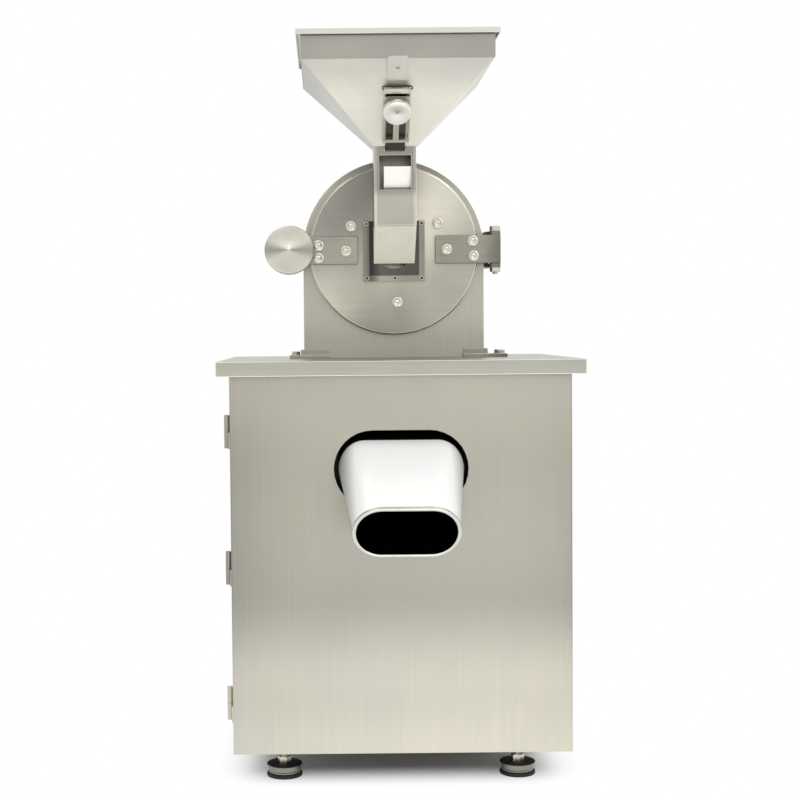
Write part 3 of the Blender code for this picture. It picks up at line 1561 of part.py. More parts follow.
def chute_line():
    """Stations of the chute from its inlet under the table to its mouth: place, direction
    angle below the horizontal, width, height."""
    corner_z = CHUTE_HOLE_Z + (OUTLET_Y - CABINET_FRONT) * math.tan(CHUTE_SLOPE)
    turn = math.pi / 2 - CHUTE_SLOPE
    set_back = CHUTE_BEND_RADIUS * math.tan(turn / 2)
    bend_start_z = corner_z + set_back
    centre = Vector((0.0, OUTLET_Y - CHUTE_BEND_RADIUS, bend_start_z))
    inlet_width = OUTLET_WIDTH + 2 * CHUTE_INLET_STEP
    inlet_height = OUTLET_DEPTH + 2 * CHUTE_INLET_STEP
    stations = []
    steps = CHUTE_BEND_STEPS
    for i in range(steps + 1):
        swing = turn * i / steps
        place = centre + Vector(
            (0.0, CHUTE_BEND_RADIUS * math.cos(swing), -CHUTE_BEND_RADIUS * math.sin(swing))
        )
        share = i / steps
        height = inlet_height + (CHUTE_HEIGHT - inlet_height) * share
        width = inlet_width + (CHUTE_FACE_WIDTH - inlet_width) * share
        stations.append((place, math.pi / 2 - swing, width, height))
    mouth_y = CABINET_FRONT - CHUTE_REACH
    taper = (CHUTE_FACE_WIDTH - CHUTE_MOUTH_WIDTH) / CHUTE_REACH
    for y in (CABINET_FRONT, mouth_y):
        inward = y - CABINET_FRONT
        place = Vector((0.0, y, CHUTE_HOLE_Z + inward * math.tan(CHUTE_SLOPE)))
        width = CHUTE_FACE_WIDTH + taper * inward
        stations.append((place, CHUTE_SLOPE, width, CHUTE_HEIGHT))
    return stations


def section_points(place, angle, width, height):
    """The section's outline, square to the chute's run."""
    up = Vector((0.0, -math.sin(angle), math.cos(angle)))
    return [
        place + Vector((u, 0.0, 0.0)) + up * v
        for u, v in obround(width, height, CHUTE_CORNER_STEPS)
    ]


def make_chute():
    stations = chute_line()
    inlet_top = SHELL_TOP - GAP
    first = stations[0]
    top_place = Vector((0.0, OUTLET_Y, inlet_top))
    stations.insert(0, (top_place, math.pi / 2, first[2], first[3]))
    work = bmesh.new()
    rings = [[work.verts.new(point) for point in section_points(*s)] for s in stations]
    for upper, lower in zip(rings, rings[1:]):
        for i in range(len(upper)):
            after = (i + 1) % len(upper)
            work.faces.new((upper[i], upper[after], lower[after], lower[i]))
    bmesh.ops.recalc_face_normals(work, faces=work.faces)
    mesh = bpy.data.meshes.new("discharge_chute")
    work.to_mesh(mesh)
    work.free()
    chute = add_mesh("discharge_chute", mesh)
    solidify = chute.modifiers.new("sheet", "SOLIDIFY")
    solidify.thickness = CHUTE_WALL
    solidify.offset = -1.0
    half_x = OUTLET_WIDTH / 2 + CHUTE_INLET_FLANGE
    half_y = OUTLET_DEPTH / 2 + CHUTE_INLET_FLANGE
    outer = rectangle((-half_x, half_x), (OUTLET_Y - half_y, OUTLET_Y + half_y))
    bore = [
        (u, OUTLET_Y + v) for u, v in obround(OUTLET_WIDTH, OUTLET_DEPTH, CHUTE_CORNER_STEPS)
    ]
    flange = plate("chute_flange", [outer, bore], "xy", inlet_top - 0.004, inlet_top)
    lip = make_chute_lip(stations[-1])
    join(chute, flange, lip)
    finish(chute, "mill", STEEL)


def make_chute_lip(mouth):
    """A flat band round the mouth."""
    place, angle, width, height = mouth
    outer = obround(width + 2 * CHUTE_LIP, height + 2 * CHUTE_LIP, CHUTE_CORNER_STEPS)
    inner = obround(
        width - 2 * CHUTE_WALL - 0.0004, height - 2 * CHUTE_WALL - 0.0004, CHUTE_CORNER_STEPS
    )
    lip = plate("chute_lip", [outer, inner], "xy", 0.0, CHUTE_LIP_LENGTH)
    run = Vector((0.0, -math.cos(angle), -math.sin(angle)))
    up = Vector((0.0, -math.sin(angle), math.cos(angle)))
    side = up.cross(run)
    turn = Matrix((side, up, run)).transposed().to_4x4()
    back = place - run * (CHUTE_LIP_LENGTH - 0.0004)
    bpy.context.view_layer.update()
    lip.matrix_world = Matrix.Translation(back) @ turn @ lip.matrix_world
    return lip


# Drive


def make_spindle():
    z = MILL_AXIS_Z
    face = ROTOR_DISC_FRONT
    neck = SPINDLE_RADIUS - 0.003
    end = PULLEY_Y + PULLEY_WIDTH / 2 + 0.002
    spindle = turned(
        "spindle",
        [
            (0.0, end),
            (neck, end),
            (neck, BEARING_HOUSING_END + 0.008),
            (SPINDLE_RADIUS, BEARING_HOUSING_END + 0.008),
            (SPINDLE_RADIUS, face + ROTOR_DISC_THICKNESS + GAP),
            (neck, face + ROTOR_DISC_THICKNESS + GAP),
            (neck, face),
            (ROTOR_THREAD_RADIUS, face),
            (ROTOR_THREAD_RADIUS, face - ROTOR_NUT_LENGTH + 0.006),
            (0.0, face - ROTOR_NUT_LENGTH + 0.006),
        ],
        (0.0, 0.0, z),
        (0, 1, 0),
        16,
    )
    finish(spindle, "rotor", CAST)


def make_bearing_housing():
    z = MILL_AXIS_Z
    front = HOUSING_BACK + GAP
    seat = BEARING_OUTER + GAP
    step = seat - 0.004
    first = front + BEARING_INSET
    last = BEARING_HOUSING_END - BEARING_INSET
    housing = turned(
        "bearing_housing",
        [
            (BEARING_HOUSING_RADIUS, BEARING_HOUSING_END),
            (BEARING_HOUSING_RADIUS, front + BEARING_FLANGE),
            (BEARING_FLANGE_RADIUS, front + BEARING_FLANGE),
            (BEARING_FLANGE_RADIUS, front),
            (seat, front),
            (seat, first + BEARING_WIDTH + GAP),
            (step, first + BEARING_WIDTH + GAP),
            (step, last - BEARING_WIDTH - GAP),
            (seat, last - BEARING_WIDTH - GAP),
            (seat, BEARING_HOUSING_END),
        ],
        (0.0, 0.0, z),
        (0, 1, 0),
        24,
    )
    finish(housing, "mill", CAST)
    for name, start in (("front_bearing", first), ("rear_bearing", last - BEARING_WIDTH)):
        bearing = turned(
            name,
            ring_profile(SPINDLE_RADIUS + GAP, BEARING_OUTER, 0.0, BEARING_WIDTH),
            (0.0, start, z),
            (0, 1, 0),
            20,
        )
        finish(bearing, "mill", BRIGHT)
    cover = turned(
        "bearing_cover",
        ring_profile(
            SPINDLE_RADIUS + RUNNING_GAP,
            BEARING_HOUSING_RADIUS - 0.003,
            GAP,
            GAP + BEARING_COVER_THICKNESS,
        ),
        (0.0, BEARING_HOUSING_END, z),
        (0, 1, 0),
        20,
    )
    finish(cover, "mill", CAST)
    seal = turned(
        "shaft_seal",
        [
            (SEAL_RADIUS, HOUSING_BACK),
            (SEAL_RADIUS, CHAMBER_BACK + 0.002),
            (SPINDLE_RADIUS + RUNNING_GAP, CHAMBER_BACK + 0.004),
            (SPINDLE_RADIUS + RUNNING_GAP, HOUSING_BACK),
        ],
        (0.0, 0.0, z),
        (0, 1, 0),
        20,
    )
    finish(seal, "mill", RUBBER)


def belt_middles():
    return (PULLEY_Y - BELT_PITCH / 2, PULLEY_Y + BELT_PITCH / 2)


def pulley(name, radius, bore, z, body, steps):
    """A pulley with two V-grooves."""
    half = PULLEY_WIDTH / 2
    floor = radius - GROOVE_FLOOR
    top = BELT_TOP_WIDTH / 2 + BELT_CLEARANCE
    bottom = top - GROOVE_FLOOR * (BELT_TOP_WIDTH - BELT_BOTTOM_WIDTH) / (2 * BELT_HEIGHT)
    profile = [(radius, half)]
    for middle in (BELT_PITCH / 2, -BELT_PITCH / 2):
        profile += [
            (radius, middle + top),
            (floor, middle + bottom),
            (floor, middle - bottom),
            (radius, middle - top),
        ]
    profile += [(radius, -half), (bore, -half), (bore, half)]
    obj = turned(name, profile, (0.0, PULLEY_Y, z), (0, 1, 0), steps)
    finish(obj, body, CAST)


def belt_route(radius_low, radius_high, low_z, high_z):
    """The loop of a belt round two wheels, in the plane of X and Z."""
    distance = high_z - low_z
    lean = math.degrees(math.asin((radius_low - radius_high) / distance))
    lower = arc((0.0, low_z), radius_low, 180 - lean, 360 + lean, 14)
    upper = arc((0.0, high_z), radius_high, lean, 180 - lean, 12)
    return lower + upper


def make_belts():
    for number, y in enumerate(belt_middles(), start=1):
        outer = BELT_HEIGHT / 2
        route = belt_route(MOTOR_PITCH_RADIUS, SPINDLE_PITCH_RADIUS, MOTOR_AXIS_Z, MILL_AXIS_Z)
        work = bmesh.new()
        rings = []
        count = len(route)
        for i, (x, z) in enumerate(route):
            before = Vector(route[i - 1])
            after = Vector(route[(i + 1) % count])
            along = (after - before).normalized()
            out = Vector((along.y, -along.x))
            section = (
                (outer, BELT_TOP_WIDTH / 2),
                (outer, -BELT_TOP_WIDTH / 2),
                (-outer, -BELT_BOTTOM_WIDTH / 2),
                (-outer, BELT_BOTTOM_WIDTH / 2),
            )
            rings.append(
                [
                    work.verts.new((x + out.x * height, y + side, z + out.y * height))
                    for height, side in section
                ]
            )
        for i in range(count):
            ring = rings[i]
            following = rings[(i + 1) % count]
            for j in range(4):
                k = (j + 1) % 4
                work.faces.new((ring[j], ring[k], following[k], following[j]))
        bmesh.ops.recalc_face_normals(work, faces=work.faces)
        mesh = bpy.data.meshes.new(f"drive_belt_{number}")
        work.to_mesh(mesh)
        work.free()
        finish(add_mesh(f"drive_belt_{number}", mesh), "mill", RUBBER)


def make_motor():
    z = MOTOR_AXIS_Z
    bore = MOTOR_SHAFT_RADIUS + GAP
    frame_front = MOTOR_FRONT + FAN_COVER_LENGTH
    body = turned(
        "motor_body",
        [
            (MOTOR_RADIUS - 0.012, MOTOR_BACK),
            (MOTOR_RADIUS, MOTOR_BACK - MOTOR_END_TAPER),
            (MOTOR_RADIUS, frame_front + 0.010),
            (MOTOR_RADIUS - 0.008, frame_front + GAP),
            (bore, frame_front + GAP),
            (bore, MOTOR_BACK),
        ],
        (0.0, 0.0, z),
        (0, 1, 0),
        24,
    )
    feet_y = (frame_front + MOTOR_FOOT_INSET, MOTOR_BACK - MOTOR_FOOT_INSET)
    foot_top = MOTOR_FOOT_HEIGHT + MOTOR_FOOT_THICKNESS
    for side in (-1, 1):
        x = side * MOTOR_FEET_X
        foot = box(
            f"motor_foot_{side}",
            (x - MOTOR_FOOT_WIDTH / 2, x + MOTOR_FOOT_WIDTH / 2),
            feet_y,
            (MOTOR_FOOT_HEIGHT + GAP, foot_top),
        )
        leg = box(
            f"motor_leg_{side}",
            (x - MOTOR_LEG_WIDTH / 2, x + MOTOR_LEG_WIDTH / 2),
            feet_y,
            (foot_top - LAP, z - MOTOR_FOOT_INSET),
        )
        join(foot, leg)
        join(body, foot)
    cover = turned(
        "fan_cover",
        [
            (MOTOR_RADIUS - 0.006, FAN_COVER_LENGTH),
            (MOTOR_RADIUS - 0.006, 0.010),
            (MOTOR_RADIUS - 0.018, 0.0),
            (FAN_COVER_OPENING, 0.0),
            (FAN_COVER_OPENING, FAN_COVER_SHEET),
            (MOTOR_RADIUS - 0.0186, FAN_COVER_SHEET),
            (MOTOR_RADIUS - 0.0075, 0.0106),
            (MOTOR_RADIUS - 0.0075, FAN_COVER_LENGTH),
        ],
        (0.0, MOTOR_FRONT, z),
        (0, 1, 0),
        20,
    )
    finish(cover, "mill", PAINT)
    terminal_low = z + MOTOR_RADIUS - 0.004
    width, depth, height = TERMINAL_BOX
    terminal = box(
        "terminal_box",
        (-width / 2, width / 2),
        (-depth / 2, depth / 2),
        (terminal_low, terminal_low + height),
    )
    join(body, chamfer(terminal, 0.003))
    cut(body, cylinder("motor_bore", bore, (0, -0.5, z), (0, 0.5, z), 20))
    finish(body, "mill", PAINT)
    half = MOTOR_PLATE_WIDTH / 2
    plate_top = MOTOR_FOOT_HEIGHT
    motor_plate = box(
        "motor_plate",
        (-half, half),
        (-MOTOR_PLATE_DEPTH / 2, MOTOR_PLATE_DEPTH / 2),
        (plate_top - MOTOR_PLATE_THICKNESS, plate_top),
    )
    finish(motor_plate, "mill", CAST)
    make_motor_rotor(frame_front)


def make_motor_rotor(frame_front):
    z = MOTOR_AXIS_Z
    end = PULLEY_Y + PULLEY_WIDTH / 2 + 0.002
    start = MOTOR_FRONT + 0.016
    shaft = cylinder("motor_shaft", MOTOR_SHAFT_RADIUS, (0, start, z), (0, end, z), 16)
    finish(shaft, "motor_rotor", CAST)
    fan = turned(
        "motor_fan",
        ring_profile(MOTOR_SHAFT_RADIUS + GAP, MOTOR_FAN_RADIUS, 0.0, MOTOR_FAN_PLATE),
        (0.0, frame_front - 0.008, z),
        (0, 1, 0),
        16,
    )
    for i in range(FAN_BLADE_COUNT):
        angle = i * 360.0 / FAN_BLADE_COUNT
        blade = box(
            f"fan_blade_{i}",
            (FAN_BLADE_INNER, MOTOR_FAN_RADIUS - 0.004),
            (-FAN_BLADE_DEPTH, MOTOR_FAN_PLATE - LAP),
            (-0.001, 0.001),
        )
        bpy.context.view_layer.update()
        place = Matrix.Translation((0.0, frame_front - 0.008, z))
        turn = Matrix.Rotation(math.radians(angle), 4, "Y")
        blade.matrix_world = place @ turn @ blade.matrix_world
        join(fan, blade)
    finish(fan, "motor_rotor", PLASTIC)


def make_guard():
    """The cover over the spindle pulley behind the grinding head."""
    outline = tombstone(GUARD_RADIUS, TABLE_TOP + GAP, 16)
    guard = plate("belt_guard", [outline], "xz", GUARD_FRONT, GUARD_BACK)
    shell(guard, SHEET, lambda normal, middle: normal.z < -0.9 and middle.z < TABLE_TOP + 0.01)
    hole = cylinder(
        "guard_hole",
        SPINDLE_RADIUS + 0.006,
        (0.0, GUARD_FRONT - CUT_MARGIN, MILL_AXIS_Z),
        (0.0, GUARD_FRONT + CUT_MARGIN, MILL_AXIS_Z),
        24,
    )
    cut(guard, hole)
    finish(guard, "mill", STEEL)


def main():
    make_bodies()
    make_frame()
    make_shell()
    make_rear_panel()
    make_table()
    make_feet()
    make_service_door()
    make_housing()
    make_door()
    make_pin_discs()
    make_screen()
    make_straps()
    make_hinge()
    make_latch()
    make_flange()
    make_duct()
    make_hopper()
    make_lid()
    make_gate()
    make_guide()
    make_gate_screw()
    make_chute()
    make_spindle()
    make_bearing_housing()
    pulley(
        "spindle_pulley",
        SPINDLE_PULLEY_RADIUS,
        SPINDLE_RADIUS - 0.003 + GAP,
        MILL_AXIS_Z,
        "rotor",
        20,
    )
    pulley(
        "motor_pulley",
        MOTOR_PULLEY_RADIUS,
        MOTOR_SHAFT_RADIUS + GAP,
        MOTOR_AXIS_Z,
        "motor_rotor",
        24,
    )
    make_belts()
    make_motor()
    make_guard()
    BODIES["mill"].location = (0.0, MODEL_SHIFT_Y, -FLOOR_Z)
    bpy.context.view_layer.update()


main()
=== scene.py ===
import json
import math

import bmesh
import bpy
from mathutils import Matrix, Vector


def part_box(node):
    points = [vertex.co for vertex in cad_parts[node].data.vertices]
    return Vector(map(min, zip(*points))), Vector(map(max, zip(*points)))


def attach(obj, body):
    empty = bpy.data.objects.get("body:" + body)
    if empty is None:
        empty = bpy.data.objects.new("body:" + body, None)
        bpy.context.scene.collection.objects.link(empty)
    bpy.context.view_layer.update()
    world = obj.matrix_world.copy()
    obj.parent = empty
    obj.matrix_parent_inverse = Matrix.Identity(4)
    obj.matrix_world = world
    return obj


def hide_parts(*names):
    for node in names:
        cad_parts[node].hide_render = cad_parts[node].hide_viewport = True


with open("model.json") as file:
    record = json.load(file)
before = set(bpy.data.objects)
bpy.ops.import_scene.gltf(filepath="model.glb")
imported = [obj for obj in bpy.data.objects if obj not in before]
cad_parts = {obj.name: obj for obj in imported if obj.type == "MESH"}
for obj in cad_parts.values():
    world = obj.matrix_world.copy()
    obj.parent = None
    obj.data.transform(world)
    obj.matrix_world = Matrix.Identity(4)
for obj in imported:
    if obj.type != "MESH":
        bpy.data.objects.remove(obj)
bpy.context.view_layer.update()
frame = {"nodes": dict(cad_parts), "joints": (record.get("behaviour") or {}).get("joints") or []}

NODES = frame["nodes"]
JOINTS = {joint["name"]: joint for joint in frame["joints"]}
SCENE = bpy.context.scene

TABLE_LOW, TABLE_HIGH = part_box("tabletop")
DOOR_LOW, DOOR_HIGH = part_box("door_disc")
MIDDLE_Y = (TABLE_LOW.y + TABLE_HIGH.y) / 2
AXIS_Z = (DOOR_LOW.z + DOOR_HIGH.z) / 2
FRONT = Vector((0.0, -1.0, 0.0))
BACK = Vector((0.0, 1.0, 0.0))
UP = Vector((0.0, 0.0, 1.0))


# Material parts


def srgb(red, green, blue):
    """Linear values for a colour given from 0 to 255."""
    shares = [part / 255 for part in (red, green, blue)]
    values = [s / 12.92 if s <= 0.04045 else ((s + 0.055) / 1.055) ** 2.4 for s in shares]
    return (*values, 1.0)


def add(tree, kind, inputs=None, **settings):
    node = tree.nodes.new(kind)
    for key, value in settings.items():
        setattr(node, key, value)
    for key, value in (inputs or {}).items():
        node.inputs[key].default_value = value
    return node


def math_node(tree, operation, first, second=0.0, third=0.0):
    node = add(tree, "ShaderNodeMath", operation=operation)
    for socket, value in zip(node.inputs, (first, second, third)):
        if isinstance(value, (int, float)):
            socket.default_value = value
        else:
            tree.links.new(value, socket)
    return node.outputs[0]


def split(tree, vector):
    """The X, Y and Z outputs of a vector."""
    parts = add(tree, "ShaderNodeSeparateXYZ")
    tree.links.new(vector, parts.inputs[0])
    return parts.outputs


def stretched_noise(tree, coordinates, scale, detail, roughness=0.6):
    mapping = add(tree, "ShaderNodeMapping", {"Scale": scale})
    settings = {"Scale": 1.0, "Detail": detail, "Roughness": roughness}
    noise = add(tree, "ShaderNodeTexNoise", settings)
    tree.links.new(coordinates, mapping.inputs["Vector"])
    tree.links.new(mapping.outputs[0], noise.inputs["Vector"])
    return noise.outputs["Fac"]


def along(tree, coordinates, axis, low, high, stops):
    """A value that changes along an axis, given at stops from 0 to 1 between two places in
    metres. The axis XZ runs from upper left to lower right. UP and SIDE aren't places but
    how far a face looks upwards and to the right."""
    if axis in ("UP", "SIDE"):
        normal = add(tree, "ShaderNodeTexCoord").outputs["Normal"]
        place = split(tree, normal)["Z" if axis == "UP" else "X"]
    elif axis == "XZ":
        parts = split(tree, coordinates)
        place = math_node(tree, "SUBTRACT", parts["X"], parts["Z"])
    else:
        place = split(tree, coordinates)[axis]
    scaled = add(tree, "ShaderNodeMapRange", {"From Min": low, "From Max": high})
    tree.links.new(place, scaled.inputs["Value"])
    ramp = add(tree, "ShaderNodeValToRGB")
    ramp.color_ramp.interpolation = "EASE"
    marks = ramp.color_ramp.elements
    while len(marks) < len(stops):
        marks.new(0.5)
    for mark, (position, value) in zip(marks, stops):
        mark.position = position
        mark.color = (value / 2, value / 2, value / 2, 1.0)
    tree.links.new(scaled.outputs[0], ramp.inputs[0])
    return math_node(tree, "MULTIPLY", ramp.outputs[0], 2.0)


def start_material(name):
    """A new material with its node tree, its shader and the coordinates on the piece."""
    material = bpy.data.materials.new(name)
    material.use_nodes = True
    tree = material.node_tree
    coordinates = add(tree, "ShaderNodeTexCoord").outputs["Object"]
    return material, tree, tree.nodes["Principled BSDF"], coordinates


def set_colour(tree, shader, colour, level):
    """Base colour: a colour, fixed or from a socket, times a level."""
    tint = add(tree, "ShaderNodeVectorMath", operation="SCALE")
    if isinstance(colour, tuple):
        tint.inputs[0].default_value = colour[:3]
    else:
        tree.links.new(colour, tint.inputs[0])
    tree.links.new(level, tint.inputs["Scale"])
    tree.links.new(tint.outputs[0], shader.inputs["Base Color"])


def set_relief(tree, shader, height, strength, distance=0.0003):
    relief = add(tree, "ShaderNodeBump", {"Strength": strength, "Distance": distance})
    tree.links.new(height, relief.inputs["Height"])
    tree.links.new(relief.outputs[0], shader.inputs["Normal"])


# Kinds of material

WARM = 0.03
BRIGHTEST = 0.97
LATHE_RINGS = 2600.0
FAN_REFLECTION_TURN = 20.0


def steel(name, colour, rough, grain, fine, streaks, patches, patch_scale, painted_shades=(), sheen=None):
    """Brushed steel: a fine grain, broad streaks and soft patches, in colour and gloss. Each
    painted shade is (axis, low, high, stops), painted light and shade that makes the piece
    lighter or darker along it, and sheen is one for the metal share."""
    material, tree, shader, coordinates = start_material(name)
    first = stretched_noise(tree, coordinates, grain, 5.0, 0.7)
    broad = [max(part * 0.22, 3.0) for part in grain]
    second = stretched_noise(tree, coordinates, broad, 4.0)
    third = stretched_noise(tree, coordinates, (patch_scale,) * 3, 3.0, 0.5)
    level = math_node(tree, "MULTIPLY_ADD", first, 2 * fine, 1 - fine - streaks - patches)
    level = math_node(tree, "MULTIPLY_ADD", second, 2 * streaks, level)
    level = math_node(tree, "MULTIPLY_ADD", third, 2 * patches, level)
    # Painted light and shade: each painted shade multiplies the tone.
    for shade in painted_shades:
        level = math_node(tree, "MULTIPLY", level, along(tree, coordinates, *shade))
    level = math_node(tree, "MINIMUM", level, BRIGHTEST / max(colour[:3]))
    red, green, blue = colour[:3]
    cool = (red * (1 - WARM), green, blue * (1 + 2 * WARM), 1.0)
    hot = (red * (1 + WARM), green, blue * (1 - 2 * WARM), 1.0)
    mix = add(tree, "ShaderNodeMix", {"A": cool, "B": hot}, data_type="RGBA")
    tree.links.new(third, mix.inputs["Factor"])
    set_colour(tree, shader, mix.outputs["Result"], level)
    gloss = math_node(tree, "MULTIPLY_ADD", first, 0.12, rough - 0.11)
    gloss = math_node(tree, "MULTIPLY_ADD", third, 0.10, gloss)
    tree.links.new(gloss, shader.inputs["Roughness"])
    set_relief(tree, shader, first, 0.05, 0.0004)
    shader.inputs["Metallic"].default_value = 1.0
    if sheen:
        tree.links.new(along(tree, coordinates, *sheen), shader.inputs["Metallic"])
    return material


def turned_steel(name, colour, rough, dark, fan=0.0):
    """Steel turned on a lathe about local Z: fine rings, and a painted reflection of darker wedges
    that fan out from the axis.
    """
    material, tree, shader, coordinates = start_material(name)
    parts = split(tree, coordinates)
    square = math_node(tree, "MULTIPLY", parts["X"], parts["X"])
    square = math_node(tree, "MULTIPLY_ADD", parts["Y"], parts["Y"], square)
    place = add(tree, "ShaderNodeCombineXYZ")
    tree.links.new(math_node(tree, "SQRT", square), place.inputs["X"])
    tree.links.new(parts["Z"], place.inputs["Y"])
    rings = stretched_noise(tree, place.outputs[0], (LATHE_RINGS,) * 3, 3.0)
    cloud = stretched_noise(tree, coordinates, (30.0,) * 3, 3.0)
    level = math_node(tree, "MULTIPLY_ADD", rings, 2 * dark, 1 - dark - 0.08)
    level = math_node(tree, "MULTIPLY_ADD", cloud, 0.16, level)
    # Painted reflection: the darker wedges of the turned face's fan-shaped highlight.
    angle = math_node(tree, "ARCTAN2", parts["Y"], parts["X"])
    doubled = math_node(tree, "MULTIPLY_ADD", angle, 2.0, 2 * math.radians(FAN_REFLECTION_TURN))
    wave = math_node(tree, "MAXIMUM", math_node(tree, "COSINE", doubled), 0.0)
    painted_fan_reflection = math_node(tree, "MULTIPLY_ADD", math_node(tree, "POWER", wave, 4.0), -fan, 1.0)
    set_colour(tree, shader, colour, math_node(tree, "MULTIPLY", level, painted_fan_reflection))
    gloss = math_node(tree, "MULTIPLY_ADD", rings, 0.12, rough - 0.06)
    tree.links.new(gloss, shader.inputs["Roughness"])
    set_relief(tree, shader, rings, 0.10)
    shader.inputs["Metallic"].default_value = 1.0
    shader.inputs["Anisotropic"].default_value = 0.75
    tangent = add(tree, "ShaderNodeTangent", direction_type="RADIAL", axis="Z")
    tree.links.new(tangent.outputs[0], shader.inputs["Tangent"])
    return material


def coated(name, colour, rough, speckle=60.0, spread=0.25, bump=0.2):
    """Paint, rubber or plastic with a fine uneven skin."""
    material, tree, shader, coordinates = start_material(name)
    fine = stretched_noise(tree, coordinates, (speckle * 12,) * 3, 4.0)
    cloud = stretched_noise(tree, coordinates, (speckle,) * 3, 3.0)
    level = math_node(tree, "MULTIPLY_ADD", cloud, 2 * spread, 1 - spread - 0.1)
    level = math_node(tree, "MULTIPLY_ADD", fine, 0.2, level)
    set_colour(tree, shader, colour, level)
    gloss = math_node(tree, "MULTIPLY_ADD", cloud, 0.2, rough - 0.1)
    tree.links.new(gloss, shader.inputs["Roughness"])
    set_relief(tree, shader, fine, bump)
    return material


# Finishes: grains, shared textures, spans in metres of painted light and shade, and the materials

TALL = (900.0, 900.0, 7.0)
ACROSS = (7.0, 900.0, 900.0)
ROLLED = (9.0, 300.0, 9.0)
MILLED = (80.0, 80.0, 500.0)
SMALL = {"grain": (60.0, 60.0, 60.0), "fine": 0.06, "streaks": 0.06, "patches": 0.12}
SHEET = {"grain": TALL, "fine": 0.05, "streaks": 0.05, "patches": 0.08, "patch_scale": 20.0}
DUCT_HEIGHTS = (0.90, 1.10)
HOPPER_HEIGHTS = (1.10, 1.272)
CHUTE_EXIT = (-0.1694, -0.1672)

# A lighter copy of the steel for bevelled edges: a painted edge highlight.
EDGE = steel(
    "painted_edge_highlight", srgb(232, 230, 220), rough=0.28, grain=ACROSS,
    fine=0.04, streaks=0.05, patches=0.04, patch_scale=5.0,
)
# Painted reflection of the floor: lighter low down; painted shade: darker through the middle.
CABINET = steel(
    "cabinet_steel", srgb(184, 181, 169), rough=0.36, grain=TALL,
    fine=0.07, streaks=0.06, patches=0.10, patch_scale=4.0,
    painted_shades=(
        ("Z", 0.06, 0.72, ((0.0, 1.36), (0.16, 1.18), (0.42, 0.66), (0.7, 0.66), (1.0, 0.86))),
    ),
)
TABLE = steel(
    "table_steel", srgb(168, 167, 156), rough=0.34, grain=ACROSS,
    fine=0.07, streaks=0.08, patches=0.10, patch_scale=4.0,
)
# Painted shade: darker over the top of the housing's round, where the duct shades it.
HOUSING = steel(
    "housing_steel", srgb(174, 171, 159), rough=0.36, grain=TALL,
    fine=0.07, streaks=0.07, patches=0.12, patch_scale=7.0,
    painted_shades=(("Z", 1.02, 1.082, ((0.0, 1.0), (1.0, 0.5))),),
)
# Painted light and shade: darker towards the duct at the upper left, lighter on the right and along
# the diagonal from upper right to lower left.
DOOR = steel(
    "door_steel", srgb(172, 169, 157), rough=0.36, grain=ACROSS,
    fine=0.06, streaks=0.06, patches=0.22, patch_scale=9.0,
    painted_shades=(
        ("X", -0.16, 0.16, ((0.0, 1.0), (0.34, 0.68), (0.5, 0.82), (0.72, 1.10), (1.0, 1.12))),
        ("XZ", -1.10, -0.76, ((0.0, 0.86), (0.5, 1.42), (1.0, 0.84))),
    ),
)
# Painted shade: darker over the hinge strap's start and darkest at its rolled end on the right.
STRAP = steel(
    "strap_steel", srgb(164, 161, 148), rough=0.34, grain=ACROSS,
    fine=0.08, streaks=0.12, patches=0.22, patch_scale=16.0,
    painted_shades=(
        ("X", -0.16, 0.20, ((0.0, 0.94), (0.6, 0.94), (0.68, 0.76), (0.86, 0.84), (1.0, 0.46))),
    ),
)
# Painted highlights along both side edges, a painted reflection of the floor that doubles the tone
# on the sloping foot, and painted shade on the window's frame.
DUCT = steel(
    "duct_steel", srgb(185, 182, 170), rough=0.32, grain=TALL,
    fine=0.05, streaks=0.07, patches=0.14, patch_scale=14.0,
    painted_shades=(
        ("X", -0.037, 0.037, ((0.0, 1.4), (0.05, 1.4), (0.09, 1.0), (0.91, 1.0), (0.95, 1.3))),
        (
            "Z", *DUCT_HEIGHTS,
            ((0.0, 2.0), (0.28, 2.0), (0.288, 0.94), (0.52, 0.98), (0.62, 0.6), (1.0, 0.64)),
        ),
    ),
    sheen=("Z", *DUCT_HEIGHTS, ((0.0, 0.0), (0.28, 0.0), (0.288, 1.0), (1.0, 1.0))),
)
# Painted shade: darker in the recess within the raised rim, and darkest on the rim's left side.
FLANGE = steel(
    "flange_steel", srgb(176, 173, 161), rough=0.34, grain=TALL,
    fine=0.07, streaks=0.10, patches=0.16, patch_scale=20.0,
    painted_shades=(
        ("Y", 0.0313, 0.0336, ((0.0, 1.0), (1.0, 0.34))),
        ("X", -0.055, 0.055, ((0.0, 0.55), (0.12, 0.3), (0.3, 0.8), (0.8, 0.6), (1.0, 0.6))),
    ),
)
# Painted light and shade: a lighter colour, up to 1.7 times lower down, for the floor's reflection
# on the front; darker on the upper band, on faces that look upwards and on the left side.
HOPPER = steel(
    "hopper_steel", srgb(214, 212, 202), rough=0.36, grain=ACROSS,
    fine=0.05, streaks=0.05, patches=0.12, patch_scale=11.0,
    painted_shades=(
        ("Z", *HOPPER_HEIGHTS, ((0.0, 1.7), (0.3, 1.5), (0.72, 1.06), (0.74, 0.56), (1.0, 0.56))),
        ("UP", 0.02, 0.2, ((0.0, 1.0), (1.0, 0.42))),
        ("SIDE", -0.6, -0.3, ((0.0, 0.66), (1.0, 1.0))),
    ),
    sheen=("Z", *HOPPER_HEIGHTS, ((0.0, 0.0), (0.3, 0.1), (0.72, 0.4), (0.74, 1.0), (1.0, 1.0))),
)
# Painted light: lighter on faces that look down or sideways, such as the turned-down lip, and
# darker on faces that look up.
LID = steel(
    "lid_steel", srgb(190, 188, 180), rough=0.36, grain=ACROSS,
    fine=0.06, streaks=0.06, patches=0.10, patch_scale=6.0,
    painted_shades=(("UP", 0.3, 0.8, ((0.0, 1.3), (1.0, 0.78))),),
)
